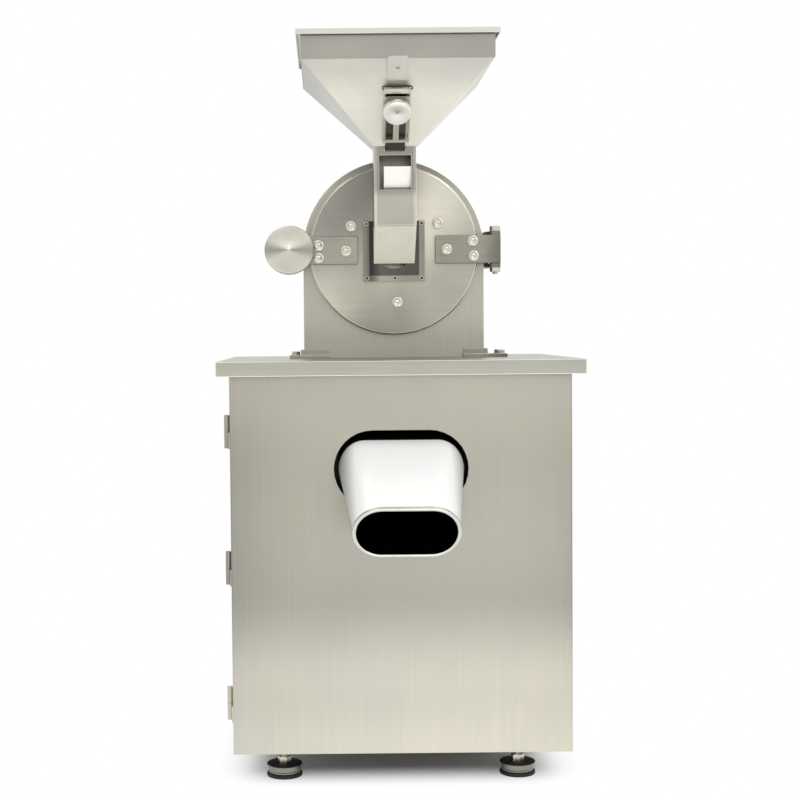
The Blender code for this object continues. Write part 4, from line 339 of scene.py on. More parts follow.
# Painted light: a near-white copy of the steel for the overhead light's highlight on the chute's
# top; painted shadow almost black where it runs into the cabinet, and painted shade towards both
# sides.
CHUTE = steel(
    "chute_steel", srgb(252, 252, 250), rough=0.36, grain=ROLLED,
    fine=0.02, streaks=0.02, patches=0.03, patch_scale=9.0,
    painted_shades=(
        ("Y", *CHUTE_EXIT, ((0.0, 1.0), (1.0, 0.02))),
        ("X", -0.106, 0.106, ((0.0, 0.44), (0.16, 1.04), (0.84, 1.06), (1.0, 0.6))),
    ),
    sheen=("Y", *CHUTE_EXIT, ((0.0, 0.25), (1.0, 1.0))),
)
# Painted shade: a dark copy of the chute's steel for its inside, darker further in.
CHUTE_INSIDE = steel(
    "chute_inside", srgb(70, 68, 60), rough=0.6, grain=ROLLED,
    fine=0.08, streaks=0.08, patches=0.10, patch_scale=9.0,
    painted_shades=(("Y", -0.352, -0.27, ((0.0, 0.3), (0.3, 0.06), (1.0, 0.03))),),
)
LIP = steel("chute_lip_steel", srgb(222, 221, 212), rough=0.30, patch_scale=40.0, **SMALL)
GATE = steel("gate_steel", srgb(214, 212, 201), rough=0.36, **SHEET)
# Painted shade: dark below the guide's top, where the plate runs under the guide.
GATE_SLIDE = steel(
    "gate_slide_steel", srgb(222, 220, 210), rough=0.36,
    painted_shades=(("Z", 1.168, 1.180, ((0.0, 0.14), (1.0, 1.0))),), **SHEET,
)
BAFFLE = steel(
    "baffle_steel", srgb(226, 223, 216), rough=0.42, grain=TALL,
    fine=0.03, streaks=0.03, patches=0.04, patch_scale=20.0,
)
BRIGHT = steel("bright_steel", srgb(203, 200, 188), rough=0.24, patch_scale=60.0, **SMALL)
# Painted shadow: the foot's steel disc darker up to its top, as it stands in the cabinet's shadow.
FOOT = steel(
    "foot_steel", srgb(212, 209, 197), rough=0.26, patch_scale=60.0,
    painted_shades=(("Z", 0.0202, 0.0208, ((0.0, 0.42), (1.0, 1.0))),), **SMALL,
)
MACHINED = steel(
    "machined_steel", srgb(160, 157, 148), rough=0.42, grain=MILLED,
    fine=0.10, streaks=0.1, patches=0.14, patch_scale=12.0,
)
# Painted reflection: fan sets how dark the latch knob's painted fan wedges are.
LATHE = turned_steel("lathe_steel", srgb(202, 199, 187), rough=0.30, dark=0.10, fan=0.46)
LATHE_PALE = turned_steel("lathe_steel_pale", srgb(248, 246, 242), rough=0.34, dark=0.03)
RUBBER = coated("black_rubber", srgb(28, 27, 25), rough=0.62)
# Painted shade: near black, for recesses and gaps that lie in shadow.
DARK = coated("painted_shade_dark", srgb(18, 17, 15), rough=0.7)
BELT = coated("belt_rubber", srgb(34, 33, 31), rough=0.7, speckle=120.0)
PAINT = coated(
    "motor_enamel", srgb(84, 96, 106), rough=0.40, speckle=40.0, spread=0.10, bump=0.12
)
PLASTIC = coated("black_plastic", srgb(30, 30, 31), rough=0.45, speckle=90.0)
FIBRE = coated("gasket_rubber", srgb(58, 54, 48), rough=0.75)


# Shapes

SHARP = 32.0
CHAMFER_SLOPE = 0.577
THREAD_DEPTH = 0.0006
FINE_PITCH = 0.00125
FOOT_PITCH = 0.00175


def link(name, data):
    obj = bpy.data.objects.new(name, data)
    SCENE.collection.objects.link(obj)
    return obj


def mesh_from(work, name, sharp=SHARP):
    """A mesh with smooth faces and hard edges where it turns by more than the angle."""
    bmesh.ops.recalc_face_normals(work, faces=work.faces)
    for face in work.faces:
        face.smooth = True
    for edge in work.edges:
        smooth = len(edge.link_faces) == 2
        edge.smooth = smooth and edge.calc_face_angle() < math.radians(sharp)
    mesh = bpy.data.meshes.new(name)
    work.to_mesh(mesh)
    work.free()
    return mesh


def lay(place, direction, twist=0.0):
    """The matrix that lays local Z along a direction, at a place."""
    turn = Vector(direction).to_track_quat("Z", "Y").to_matrix().to_4x4()
    return Matrix.Translation(place) @ turn @ Matrix.Rotation(math.radians(twist), 4, "Z")


def circle(radius, steps):
    """Points round a circle, from the first axis towards the second."""
    angles = [2 * math.pi * i / steps for i in range(steps)]
    return [(radius * math.cos(angle), radius * math.sin(angle)) for angle in angles]


def ring_points(ring, steps):
    """The points of a ring: (radius, height), or with a number of sides, where the radius
    is to the flats, or with sides and the radius where a 30 degree chamfer starts."""
    radius, height = ring[:2]
    sides = ring[2] if len(ring) > 2 else 0
    chamfer = ring[3] if len(ring) > 3 else None
    points = []
    for i in range(steps):
        angle = 2 * math.pi * i / steps
        reach = radius
        if sides:
            part = 2 * math.pi / sides
            swing = (angle + part / 2) % part - part / 2
            reach = radius / math.cos(swing)
        low = height
        if chamfer is not None:
            low = height - max(0.0, reach - chamfer) * CHAMFER_SLOPE
        points.append((reach * math.cos(angle), reach * math.sin(angle), low))
    return points


def join(work, lower, upper):
    """Faces between two rings of vertices, of which one may be a single vertex, which a
    face then has only once."""
    steps = max(len(lower), len(upper))
    faces = []
    for i in range(steps):
        after = (i + 1) % steps
        below = [lower[k % len(lower)] for k in (i, after)]
        above = [upper[k % len(upper)] for k in (after, i)]
        faces.append(work.faces.new(list(dict.fromkeys(below + above))))
    return faces


def turn_rings(work, rings, steps=48, matrix=None):
    """Adds a closed turned body about local Z. A radius of 0 makes a pole; a body without
    poles is a ring and closes on itself."""
    loops = []
    for ring in rings:
        points = ring_points(ring, steps) if ring[0] else [(0.0, 0.0, ring[1])]
        loops.append([work.verts.new(point) for point in points])
    for lower, upper in zip(loops, loops[1:]):
        join(work, lower, upper)
    if len(loops[0]) > 1:
        join(work, loops[-1], loops[0])
    if matrix is not None:
        made = [vertex for loop in loops for vertex in loop]
        bmesh.ops.transform(work, matrix=matrix, verts=made)


def turned(name, rings, steps=48, sharp=SHARP):
    work = bmesh.new()
    turn_rings(work, rings, steps)
    return mesh_from(work, name, sharp)


def loft(work, rings, closed=False):
    """Joins rings of vertices with faces. A closed body runs from its last ring to its
    first, and another gets a cap at each end. Returns the faces between ring and ring."""
    bands = [join(work, lower, upper) for lower, upper in zip(rings, rings[1:])]
    if closed:
        bands.append(join(work, rings[-1], rings[0]))
    else:
        work.faces.new(list(reversed(rings[0])))
        work.faces.new(rings[-1])
    return bands


def thread(radius, low, high, pitch, depth=THREAD_DEPTH):
    """Rings of a screw thread, drawn as grooves."""
    rings = []
    count = int((high - low) / pitch)
    for i in range(count):
        start = low + i * pitch
        rings.append((radius - depth, start))
        rings.append((radius, start + pitch * 0.4))
        rings.append((radius, start + pitch * 0.6))
    rings.append((radius - depth, low + count * pitch))
    return rings


def wear(obj, *materials):
    obj.data.materials.clear()
    for material in materials:
        obj.data.materials.append(material)


def place_piece(name, mesh, body, materials=(), nodes=(), matrix=None):
    """Puts a piece on its body, with its finish and the CAD nodes that it stands for."""
    obj = link(name, mesh)
    if not mesh.materials:
        wear(obj, *materials)
    if matrix is not None:
        obj.matrix_world = matrix
    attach(obj, body)
    if nodes:
        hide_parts(*nodes)


def darken(mesh, reach, low, high):
    """Gives a bright screw painted shade: dark faces in its recess, by their distance from the
    axis.
    """
    mesh.materials.append(BRIGHT)
    mesh.materials.append(DARK)
    for polygon in mesh.polygons:
        centre = polygon.center
        if math.hypot(centre.x, centre.y) < reach and low < centre.z < high:
            polygon.material_index = 1


# Finish of the CAD nodes

WELD = 0.00001
FLAT = math.radians(0.5)
CORNER = math.radians(40)
SOFT_TURN = math.radians(30)


def smoothing_group():
    """Smooth faces, with hard edges where a surface turns by more than the soft turn."""
    group = bpy.data.node_groups.new("smooth_by_angle", "GeometryNodeTree")
    for way in ("INPUT", "OUTPUT"):
        group.interface.new_socket("Geometry", in_out=way, socket_type="NodeSocketGeometry")
    start = add(group, "NodeGroupInput")
    end = add(group, "NodeGroupOutput")
    remove = add(group, "GeometryNodeRemoveAttribute", {"Name": "custom_normal"})
    faces = add(group, "GeometryNodeSetShadeSmooth", {"Shade Smooth": True}, domain="FACE")
    angle = add(group, "GeometryNodeInputMeshEdgeAngle")
    limit = add(
        group, "FunctionNodeCompare", {"B": SOFT_TURN},
        data_type="FLOAT", operation="LESS_EQUAL",
    )
    edges = add(group, "GeometryNodeSetShadeSmooth", domain="EDGE")
    group.links.new(start.outputs[0], remove.inputs["Geometry"])
    group.links.new(remove.outputs[0], faces.inputs["Geometry"])
    group.links.new(angle.outputs["Unsigned Angle"], limit.inputs["A"])
    group.links.new(limit.outputs[0], edges.inputs["Shade Smooth"])
    group.links.new(faces.outputs[0], edges.inputs["Geometry"])
    group.links.new(edges.outputs[0], end.inputs[0])
    return group


SMOOTH = smoothing_group()


def dress(name, material, edge=None, bevel=0.0):
    """Gives a CAD node its finish, smooth shading and, where wanted, softened edges, whose faces
    can wear a lighter material as a painted edge highlight.
    """
    obj = NODES[name]
    wear(obj, material, edge or material)
    weld = obj.modifiers.new("weld", "WELD")
    weld.merge_threshold = WELD
    if bevel:
        flat = obj.modifiers.new("flat", "DECIMATE")
        flat.decimate_type = "DISSOLVE"
        flat.angle_limit = FLAT
        soft = obj.modifiers.new("soft_edges", "BEVEL")
        soft.width = bevel
        soft.segments = 2
        soft.limit_method = "ANGLE"
        soft.angle_limit = CORNER
        # Where a second material is given, the bevel faces wear it as a painted edge highlight.
        soft.material = 1 if edge else -1
    smooth = obj.modifiers.new("smooth", "NODES")
    smooth.node_group = SMOOTH
    if bevel:
        weighted = obj.modifiers.new("even_shading", "WEIGHTED_NORMAL")
        weighted.keep_sharp = True


dress("tabletop", TABLE, EDGE, 0.0012)
dress("mill_housing", HOUSING, EDGE, 0.0008)
dress("door_disc", DOOR, EDGE, 0.0005)
dress("feed_flange", FLANGE, EDGE, 0.0005)
dress("feed_duct", DUCT, EDGE, 0.0013)
dress("hopper", HOPPER, EDGE, 0.0004)
dress("hopper_lid", LID, EDGE, 0.0006)
dress("gate_guide", GATE, EDGE, 0.0003)
dress("gate_plate", GATE_SLIDE)
dress("housing_foot_left", STRAP, EDGE, 0.0006)
dress("housing_foot_right", STRAP, EDGE, 0.0006)
dress("hinge_bracket", STRAP, bevel=0.0004)
dress("latch_lug", STRAP, bevel=0.0006)
dress("belt_guard", CABINET, bevel=0.0008)
dress("door_gasket", FIBRE)
dress("shaft_seal", RUBBER)
PLAIN = (
    (CABINET, ("cabinet_shell", "rear_panel", "service_door")),
    (STRAP, ("hinge_strap", "latch_strap")),
    (BRIGHT, ("service_handle", "lid_hinge_pin", "latch_washer", "rotor_nut")),
    (BRIGHT, ("front_bearing", "rear_bearing", "screen_ring")),
    (MACHINED, ("cabinet_frame", "motor_rail_front", "motor_rail_rear", "motor_plate")),
    (MACHINED, ("bearing_housing", "bearing_cover", "spindle", "spindle_pulley")),
    (MACHINED, ("motor_shaft", "motor_pulley")),
    (PAINT, ("motor_body", "fan_cover")),
    (BELT, ("drive_belt_1", "drive_belt_2")),
    (PLASTIC, ("cable_gland", "motor_fan")),
)
for finish, node_names in PLAIN:
    for node_name in node_names:
        dress(node_name, finish)


# Bolts


def hex_head(flats, height, washer, washer_height):
    """Rings of a bolt head with a dished top on a flat washer, from its seat outwards. The
    sizes across are radii, and flats is the one to the flats."""
    rim = flats * 0.95
    return [
        (0.0, 0.0), (washer - 0.0003, 0.0), (washer, 0.0003),
        (washer, washer_height - 0.0003), (washer - 0.0003, washer_height),
        (flats * 0.99, washer_height, 6),
        (flats, washer_height + 0.0002, 6),
        (flats, height, 6, rim),
        (rim, height), (flats * 0.70, height), (flats * 0.62, height - 0.0007),
        (flats * 0.48, height - 0.0012), (0.0, height - 0.0013),
    ]


M10_RINGS = hex_head(flats=0.0082, height=0.0078, washer=0.0098, washer_height=0.0014)
M8_RINGS = hex_head(flats=0.0065, height=0.0068, washer=0.0082, washer_height=0.0013)
M10_HEAD = turned("m10_head", M10_RINGS, 72)
M8_HEAD = turned("m8_head", M8_RINGS, 48)


def door_bolts():
    """The bolts of the door and its straps, at (x, height over the axis, twist)."""
    door_face = DOOR_LOW.y
    strap_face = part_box("latch_strap")[0].y
    groups = (
        ("door", door_face, (-0.0770, 0.0435, 8), (0.0790, 0.0473, 40), (0.0053, -0.0933, 20)),
        (
            "hinge_strap", strap_face,
            (0.0942, 0.0003, 12), (0.1408, 0.0150, 50), (0.1424, -0.0118, 28),
        ),
        (
            "latch_strap", strap_face,
            (-0.1356, 0.0087, 4), (-0.1358, -0.0135, 33), (-0.0865, -0.0015, 17),
        ),
    )
    for group, seat, *places in groups:
        for index, (x, rise, twist) in enumerate(places):
            at = lay((x, seat, AXIS_Z + rise), FRONT, twist)
            name = f"{group}_bolt_{index}"
            place_piece(name, M10_HEAD, "door", (BRIGHT,), matrix=at)


def bracket_bolts():
    """A hex bolt near each end of the housing's two foot brackets."""
    plate, from_side, from_front, from_back = 0.0060, 0.011, 0.018, 0.016
    for side, inwards in (("left", 1), ("right", -1)):
        low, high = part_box("housing_foot_" + side)
        outer = low.x if side == "left" else high.x
        x = outer + inwards * from_side
        for index, y in enumerate((low.y + from_front, high.y - from_back)):
            at = lay((x, y, low.z + plate), UP, 11 + 20 * index)
            name = f"bracket_bolt_{side}_{index}"
            place_piece(name, M8_HEAD, "mill", (BRIGHT,), matrix=at)


def bearing_bolts():
    """The bolts of the bearing housing's flange."""
    flange, pitch_radius, count = 0.012, 0.0665, 6
    low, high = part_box("bearing_housing")
    for index in range(count):
        angle = 2 * math.pi * (index + 0.5) / count
        x = pitch_radius * math.cos(angle)
        z = AXIS_Z + pitch_radius * math.sin(angle)
        at = lay((x, low.y + flange, z), BACK, 13 * index)
        name = f"bearing_bolt_{index}"
        place_piece(name, M8_HEAD, "mill", (BRIGHT,), matrix=at)


# Screws


def socket_screw():
    """A cap screw whose hexagon socket is painted dark, as shade in the recess."""
    radius, height, socket = 0.0039, 0.0030, 0.0021
    rings = [
        (0.0, 0.0),
        (radius, 0.0), (radius, height - 0.0005), (radius - 0.0005, height),
        (socket + 0.0003, height, 6), (socket, height - 0.0003, 6),
        (socket, 0.0008, 6), (0.0, 0.0004),
    ]
    mesh = turned("socket_screw", rings, 36)
    darken(mesh, socket + 0.0002, 0.0003, height - 0.0004)
    return mesh


def flange_screws():
    """A screw near each corner of the feed flange and one in the middle below, each a
    little off as in the photo."""
    low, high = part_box("feed_flange")
    places = (
        (low.x + 0.0055, high.z - 0.0055),
        (high.x - 0.0055, high.z - 0.0050),
        (low.x + 0.0058, low.z + 0.0055),
        (high.x - 0.0055, low.z + 0.0052),
        (0.0012, low.z + 0.0056),
    )
    mesh = socket_screw()
    for index, (x, z) in enumerate(places):
        at = lay((x, low.y, z), FRONT, 17 * index)
        place_piece(f"flange_screw_{index}", mesh, "door", matrix=at)


def pan_screw():
    """A pan head screw with a cross recess, its hollow painted dark as shade."""
    rings = [
        (0.0, 0.0), (0.0046, 0.0), (0.0047, 0.0010), (0.0042, 0.0022),
        (0.0030, 0.0029), (0.0016, 0.0031, 4), (0.0010, 0.0014, 4), (0.0, 0.0010),
    ]
    mesh = turned("pan_screw", rings, 32, 40.0)
    darken(mesh, 0.0015, 0.0008, 0.0031)
    return mesh


def panel_screws():
    """The screws round the rear panel, then those of the belt guard."""
    inset, top_inset = 0.012, 0.014
    low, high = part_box("rear_panel")
    left, right = low.x + inset, high.x - inset
    places = []
    for x in (left, (low.x + high.x) / 2, right):
        for z in (low.z + inset, high.z - top_inset):
            places.append((x, high.y, z))
    for x in (left, right):
        places.append((x, high.y, (low.z + high.z) / 2))
    guard_inset, guard_rise, under_axis = 0.014, 0.020, 0.004
    low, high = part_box("belt_guard")
    for x in (low.x + guard_inset, high.x - guard_inset):
        for z in (low.z + guard_rise, AXIS_Z - under_axis):
            places.append((x, high.y, z))
    mesh = pan_screw()
    for index, place in enumerate(places):
        at = lay(place, BACK, 25 * index)
        place_piece(f"panel_screw_{index}", mesh, "mill", matrix=at)


# Hand knobs


def knob_rings(radius, boss, shank, groove, tip, seat, back, face):
    """Rings of a turned knob with its boss and threaded shank. The boss starts at the seat,
    and the groove is a ring in the face."""
    return (
        [(0.0, tip), (shank - 0.0015, tip), (shank - 0.0004, tip + 0.0012)]
        + thread(shank, tip + 0.0014, seat - 0.0010, FINE_PITCH)
        + [
            (shank, seat - 0.0006), (shank, seat), (boss - 0.0006, seat),
            (boss, seat + 0.0006), (boss, back - 0.0012), (boss + 0.0012, back),
            (radius - 0.0030, back), (radius - 0.0008, back + 0.0008),
            (radius, back + 0.0028), (radius, face - 0.0020),
            (radius - 0.0005, face - 0.0007), (radius - 0.0016, face),
            (groove, face), (groove - 0.0004, face - 0.0002), (groove - 0.0008, face),
            (0.0012, face), (0.0, face - 0.0005),
        ]
    )


def latch_knob():
    """The large hand screw on the latch strap."""
    joint = JOINTS["latch_turn"]
    place = Vector(joint["pos_m"])
    low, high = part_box("latch_knob")
    face = place.y - low.y
    rings = knob_rings(
        radius=0.0435, boss=0.0160, shank=0.0060, groove=0.0400,
        tip=place.y - high.y, seat=0.0021, back=face - 0.016, face=face,
    )
    mesh = turned("latch_knob_detail", rings, 128, 24.0)
    # The twist lines up the painted fan reflection on the knob's face.
    at = lay(place, joint["axis"], FAN_REFLECTION_TURN)
    place_piece(
        "latch_knob_detail", mesh, "latch_turn", (LATHE,), ("latch_knob",), at
    )


def gate_knob():
    """The clamp screw of the slide gate."""
    joint = JOINTS["gate_screw_turn"]
    rings = knob_rings(
        radius=0.0235, boss=0.0090, shank=0.0040, groove=0.0205,
        tip=-0.0101, seat=0.0003, back=0.0080, face=0.0210,
    )
    mesh = turned("gate_knob_detail", rings, 96, 24.0)
    at = lay(joint["pos_m"], joint["axis"])
    place_piece(
        "gate_knob_detail", mesh, "gate_screw", (LATHE_PALE,), ("gate_knob",), at
    )


# Hinge pin


def hinge_pin():
    """The door's hinge bolt and its nut."""
    low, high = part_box("hinge_bracket")
    pivot = JOINTS["door_swing"]["pos_m"]
    at = Matrix.Translation((pivot[0], pivot[1], 0.0)) @ Matrix.Rotation(0.4, 4, "Z")
    shank, flats, rim, washer = 0.0050, 0.0083, 0.0079, 0.0098
    gap, tail, nut_height, washer_height, head = 0.0003, 0.0120, 0.0080, 0.0017, 0.0094
    under = low.z
    seat = high.z + gap
    tip = under - tail
    bolt = (
        [(0.0, tip), (shank - 0.0010, tip), (shank - 0.0004, tip + 0.0006)]
        + thread(shank, tip + 0.0008, under - 0.0002, 0.0010, 0.0005)
        + [
            (shank, under), (shank, seat), (washer - 0.0003, seat), (washer, seat + 0.0004),
            (washer, seat + 0.0013), (washer - 0.0004, seat + 0.0016),
            (flats, seat + washer_height, 6), (flats, seat + head - 0.0005, 6, rim),
            (rim, seat + head - 0.0005), (0.0056, seat + head), (0.0, seat + head),
        ]
    )
    top = under - gap
    base = top - nut_height
    bore = shank + 0.0002
    nut = [
        (bore, base + 0.0004), (bore + 0.0004, base), (rim, base), (flats, base + 0.0004, 6),
        (flats, top - 0.0003, 6), (0.0080, top, 6), (bore + 0.0004, top), (bore, top - 0.0004),
    ]
    for name, rings, node in (
        ("hinge_pin_detail", bolt, "hinge_pin"),
        ("hinge_nut_detail", nut, "hinge_pin_nut"),
    ):
        place_piece(name, turned(name, rings, 72), "mill", (BRIGHT,), (node,), at)


# Levelling feet


def foot_meshes():
    """The rubber pad, the rubber rim on the disc, and the steel disc with its stud and nuts,
    by (radius, height over the floor)."""
    pad = [
        (0.0, 0.0), (0.0285, 0.0), (0.0304, 0.0008), (0.0310, 0.0022),
        (0.0310, 0.0052), (0.0306, 0.0064), (0.0296, 0.0070), (0.0, 0.0070),
    ]
    cap = [
        (0.0122, 0.0204), (0.0300, 0.0204), (0.0309, 0.0209), (0.0310, 0.0216),
        (0.0304, 0.0225), (0.0290, 0.0228), (0.0122, 0.0228),
    ]
    shank = 0.0060
    stud = (
        [
            (0.0, 0.0073), (0.0272, 0.0073), (0.0279, 0.0078), (0.0280, 0.0100),
            (0.0276, 0.0106), (0.0280, 0.0112), (0.0280, 0.0196), (0.0272, 0.0202),
            (0.0119, 0.0202, 6), (0.0102, 0.0206, 6), (0.0102, 0.0348, 6, 0.0099),
            (0.0099, 0.0348), (shank + 0.0002, 0.0350),
        ]
        + thread(shank, 0.0352, 0.0514, FOOT_PITCH)
        + [(0.0091, 0.0517, 6), (0.0091, 0.0597, 6), (shank, 0.0597)]
        + thread(shank, 0.0600, 0.1110, FOOT_PITCH)
        + [(0.0048, 0.1120), (0.0, 0.1120)]
    )
    return (
        turned("foot_pad_detail", pad, 64),
        turned("foot_cap_detail", cap, 64),
        turned("foot_stud_detail", stud, 60),
    )


def feet():
    pad, cap, stud = foot_meshes()
    for place in ("front_left", "front_right", "rear_left", "rear_right"):
        body = "foot_" + place
        pad_node, stud_node = "foot_pad_" + place, "foot_stud_" + place
        low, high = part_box(pad_node)
        centre = ((low.x + high.x) / 2, (low.y + high.y) / 2, low.z)
        at = Matrix.Translation(centre) @ Matrix.Rotation(0.3, 4, "Z")
        place_piece("pad_" + place, pad, body, (RUBBER,), (pad_node,), at)
        place_piece("cap_" + place, cap, body, (RUBBER,), matrix=at)
        place_piece("stud_" + place, stud, body, (FOOT,), (stud_node,), at)


# Feed plate behind the window


def feed_plate():
    """The sloping plate that shows in the duct's window. It leans on the right wall."""
    left, duct_wall, thick, tilt = -0.0195, 0.0023, 0.0020, 0.0003
    low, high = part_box("feed_baffle")
    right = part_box("feed_duct")[1].x - duct_wall
    outline = (
        (high.y, low.z),
        (high.y + thick, low.z + tilt),
        (low.y + thick, high.z + tilt),
        (low.y, high.z),
    )
    work = bmesh.new()
    loft(work, [[work.verts.new((x, y, z)) for y, z in outline] for x in (left, right)])
    mesh = mesh_from(work, "feed_baffle_detail")
    place_piece("feed_baffle_detail", mesh, "door", (BAFFLE,), ("feed_baffle",))


# Discharge chute

CHUTE_TOP_WIDE = 0.200
CHUTE_TOP_TALL = 0.062
CHUTE_WIDE = 0.210
CHUTE_TALL = 0.087
CHUTE_MOUTH = 0.166
CHUTE_REACH = 0.170
CHUTE_SHEET = 0.0025
CHUTE_TURN = 0.072
CHUTE_LIP = 0.003
CHUTE_PLATE = 0.0040
CHUTE_LAP = 0.0002
PLATE_HALF_X = 0.117
PLATE_HALF_Y = 0.048
BORE_WIDE = 0.190
BORE_TALL = 0.052
HOLE_DROP = 0.182
CORNER_DROP = 0.050
ROUND_STEPS = 20


def obround(width, height):
    """The outline of a slot with full round ends, from its lower right corner upwards."""
    radius = height / 2
    points = []
    for side, start in ((1, -90), (-1, 90)):
        middle = side * (width / 2 - radius)
        for i in range(ROUND_STEPS + 1):
            angle = math.radians(start + 180 * i / ROUND_STEPS)
            points.append((middle + radius * math.cos(angle), radius * math.sin(angle)))
    return points


def chute_stations(outlet, front, top):
    """Places, angles and sizes of the chute's sections, from the table down to the mouth."""
    hole_z = TABLE_HIGH.z - HOLE_DROP
    corner_z = TABLE_HIGH.z - CORNER_DROP
    slope = math.atan2(corner_z - hole_z, outlet - front)
    turn = math.pi / 2 - slope
    start_z = corner_z + CHUTE_TURN * math.tan(turn / 2)
    stations = [(Vector((0.0, outlet, top)), math.pi / 2, CHUTE_TOP_WIDE, CHUTE_TOP_TALL)]
    turn_steps, straight_steps = 16, 8
    for i in range(turn_steps + 1):
        share = i / turn_steps
        swing = turn * share
        y = outlet - CHUTE_TURN + CHUTE_TURN * math.cos(swing)
        place = Vector((0.0, y, start_z - CHUTE_TURN * math.sin(swing)))
        width = CHUTE_TOP_WIDE + (CHUTE_WIDE - CHUTE_TOP_WIDE) * share
        height = CHUTE_TOP_TALL + (CHUTE_TALL - CHUTE_TOP_TALL) * share
        stations.append((place, math.pi / 2 - swing, width, height))
    for i in range(straight_steps + 1):
        reach = CHUTE_REACH * i / straight_steps
        place = Vector((0.0, front - reach, hole_z - reach * math.tan(slope)))
        width = CHUTE_WIDE + (CHUTE_MOUTH - CHUTE_WIDE) * i / straight_steps
        stations.append((place, slope, width, CHUTE_TALL))
    return stations


def chute_section(station, inset, forward=0.0):
    """The points of a section, made smaller by an inset and moved along the chute."""
    place, angle, width, height = station
    up = Vector((0.0, -math.sin(angle), math.cos(angle)))
    run = Vector((0.0, -math.cos(angle), -math.sin(angle)))
    outline = obround(width - 2 * inset, height - 2 * inset)
    return [place + run * forward + Vector((u, 0.0, 0.0)) + up * v for u, v in outline]


def chute(outlet, top):
    """The chute's outside, its rolled lip and its inside, as one closed body."""
    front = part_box("cabinet_shell")[0].y
    stations = chute_stations(outlet, front, top - CHUTE_PLATE - CHUTE_LAP)
    mouth = stations.pop()
    loops = [chute_section(station, 0.0) for station in stations]
    lip_start = len(loops) + 1
    for inset, forward in (
        (0.0, -0.0088), (-CHUTE_LIP * 0.55, -0.0082), (-CHUTE_LIP, -0.0066),
        (-CHUTE_LIP, -0.0016), (-CHUTE_LIP * 0.6, -0.0004), (0.0, 0.0),
        (CHUTE_SHEET * 0.6, -0.0004), (CHUTE_SHEET, -0.0014),
    ):
        loops.append(chute_section(mouth, inset, forward))
    inside_start = len(loops) - 1
    loops += [chute_section(station, CHUTE_SHEET) for station in reversed(stations)]
    work = bmesh.new()
    rings = [[work.verts.new(point) for point in loop] for loop in loops]
    for index, band in enumerate(loft(work, rings, closed=True)):
        for face in band:
            # The inside faces wear the painted shade of the chute's inside, and the lip its own
            # steel.
            if index >= inside_start:
                face.material_index = 1
            elif index >= lip_start:
                face.material_index = 2
    mesh = mesh_from(work, "chute_detail", 40.0)
    for material in (CHUTE, CHUTE_INSIDE, LIP):
        mesh.materials.append(material)
    place_piece("chute_detail", mesh, "mill", nodes=("discharge_chute",))


def chute_flange(outlet, top):
    """The plate under the table that the chute hangs from, with its bore."""
    work = bmesh.new()
    loops = []
    for z in (top - CHUTE_PLATE, top):
        outer = []
        inner = []
        for u, v in obround(BORE_WIDE, BORE_TALL):
            reach = max(abs(u) / PLATE_HALF_X, abs(v) / PLATE_HALF_Y)
            outer.append(work.verts.new((u / reach, outlet + v / reach, z)))
            inner.append(work.verts.new((u, outlet + v, z)))
        loops.append((outer, inner))
    (outer_low, inner_low), (outer_high, inner_high) = loops
    loft(work, [outer_low, inner_low, inner_high, outer_high], closed=True)
    mesh = mesh_from(work, "chute_flange_detail")
    place_piece("chute_flange_detail", mesh, "mill", (MACHINED,))


# Wire clip of the gate


def tube(points, radius, steps=12):
    """A closed round wire along points."""
    work = bmesh.new()
    rings = []
    for i, point in enumerate(points):
        before = points[max(i - 1, 0)]
        after = points[min(i + 1, len(points) - 1)]
        turn = lay(point, Vector(after) - Vector(before))
        rings.append([work.verts.new(turn @ Vector((u, v, 0.0))) for u, v in circle(radius, steps)])
    loft(work, rings)
    return work


def gate_clip():
    """The wire across the top of the gate's guide, with its ends curled down, in the dark of the
    painted shade, as it lies in shadow there.
    """
    wire, curl, drop, inset, ahead = 0.0012, 0.0028, 0.0074, 0.0006, 0.0008
    low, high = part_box("gate_guide")
    bend = []
    for i in range(9):
        angle = math.radians(10 + 20 * i)
        x = high.x - inset + curl * math.sin(angle)
        bend.append((x, high.z - drop + curl * math.cos(angle)))
    y = low.y - ahead
    points = [(-x, y, z) for x, z in reversed(bend)] + [(x, y, z) for x, z in bend]
    mesh = mesh_from(tube(points, wire), "gate_clip", 60.0)
    place_piece("gate_clip", mesh, "door", (DARK,))


# Pin discs


def pin_disc(name, node, body, bore, radius, thickness, rings, direction, turn):
    """A disc with its rings of pins, where the CAD node has them. A ring is (radius, count),
    and turn moves the first pin by a share of a step."""
    pin, soft = 0.0035, 0.0007
    low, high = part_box(node)
    back = low.y if direction > 0 else high.y
    span = high.y - low.y
    facing = (0.0, direction, 0.0)
    disc_rings = [
        (bore, 0.0006), (bore + 0.0006, 0.0), (radius - 0.0008, 0.0), (radius, 0.0008),
        (radius, thickness - 0.0008), (radius - 0.0008, thickness),
        (bore + 0.0010, thickness), (bore, thickness - 0.0010),
    ]
    start = thickness - 0.0005
    pin_rings = [(0.0, start), (pin, start), (pin, span - soft), (pin - soft, span), (0.0, span)]
    work = bmesh.new()
    turn_rings(work, disc_rings, 160, lay((0.0, back, AXIS_Z), facing))
    for ring_radius, count in rings:
        for i in range(count):
            angle = 2 * math.pi * (i + turn) / count
            x = ring_radius * math.cos(angle)
            z = AXIS_Z + ring_radius * math.sin(angle)
            turn_rings(work, pin_rings, 20, lay((x, back, z), facing))
    mesh = mesh_from(work, name, 28.0)
    place_piece(name, mesh, body, (BRIGHT,), (node,))


# Motor details


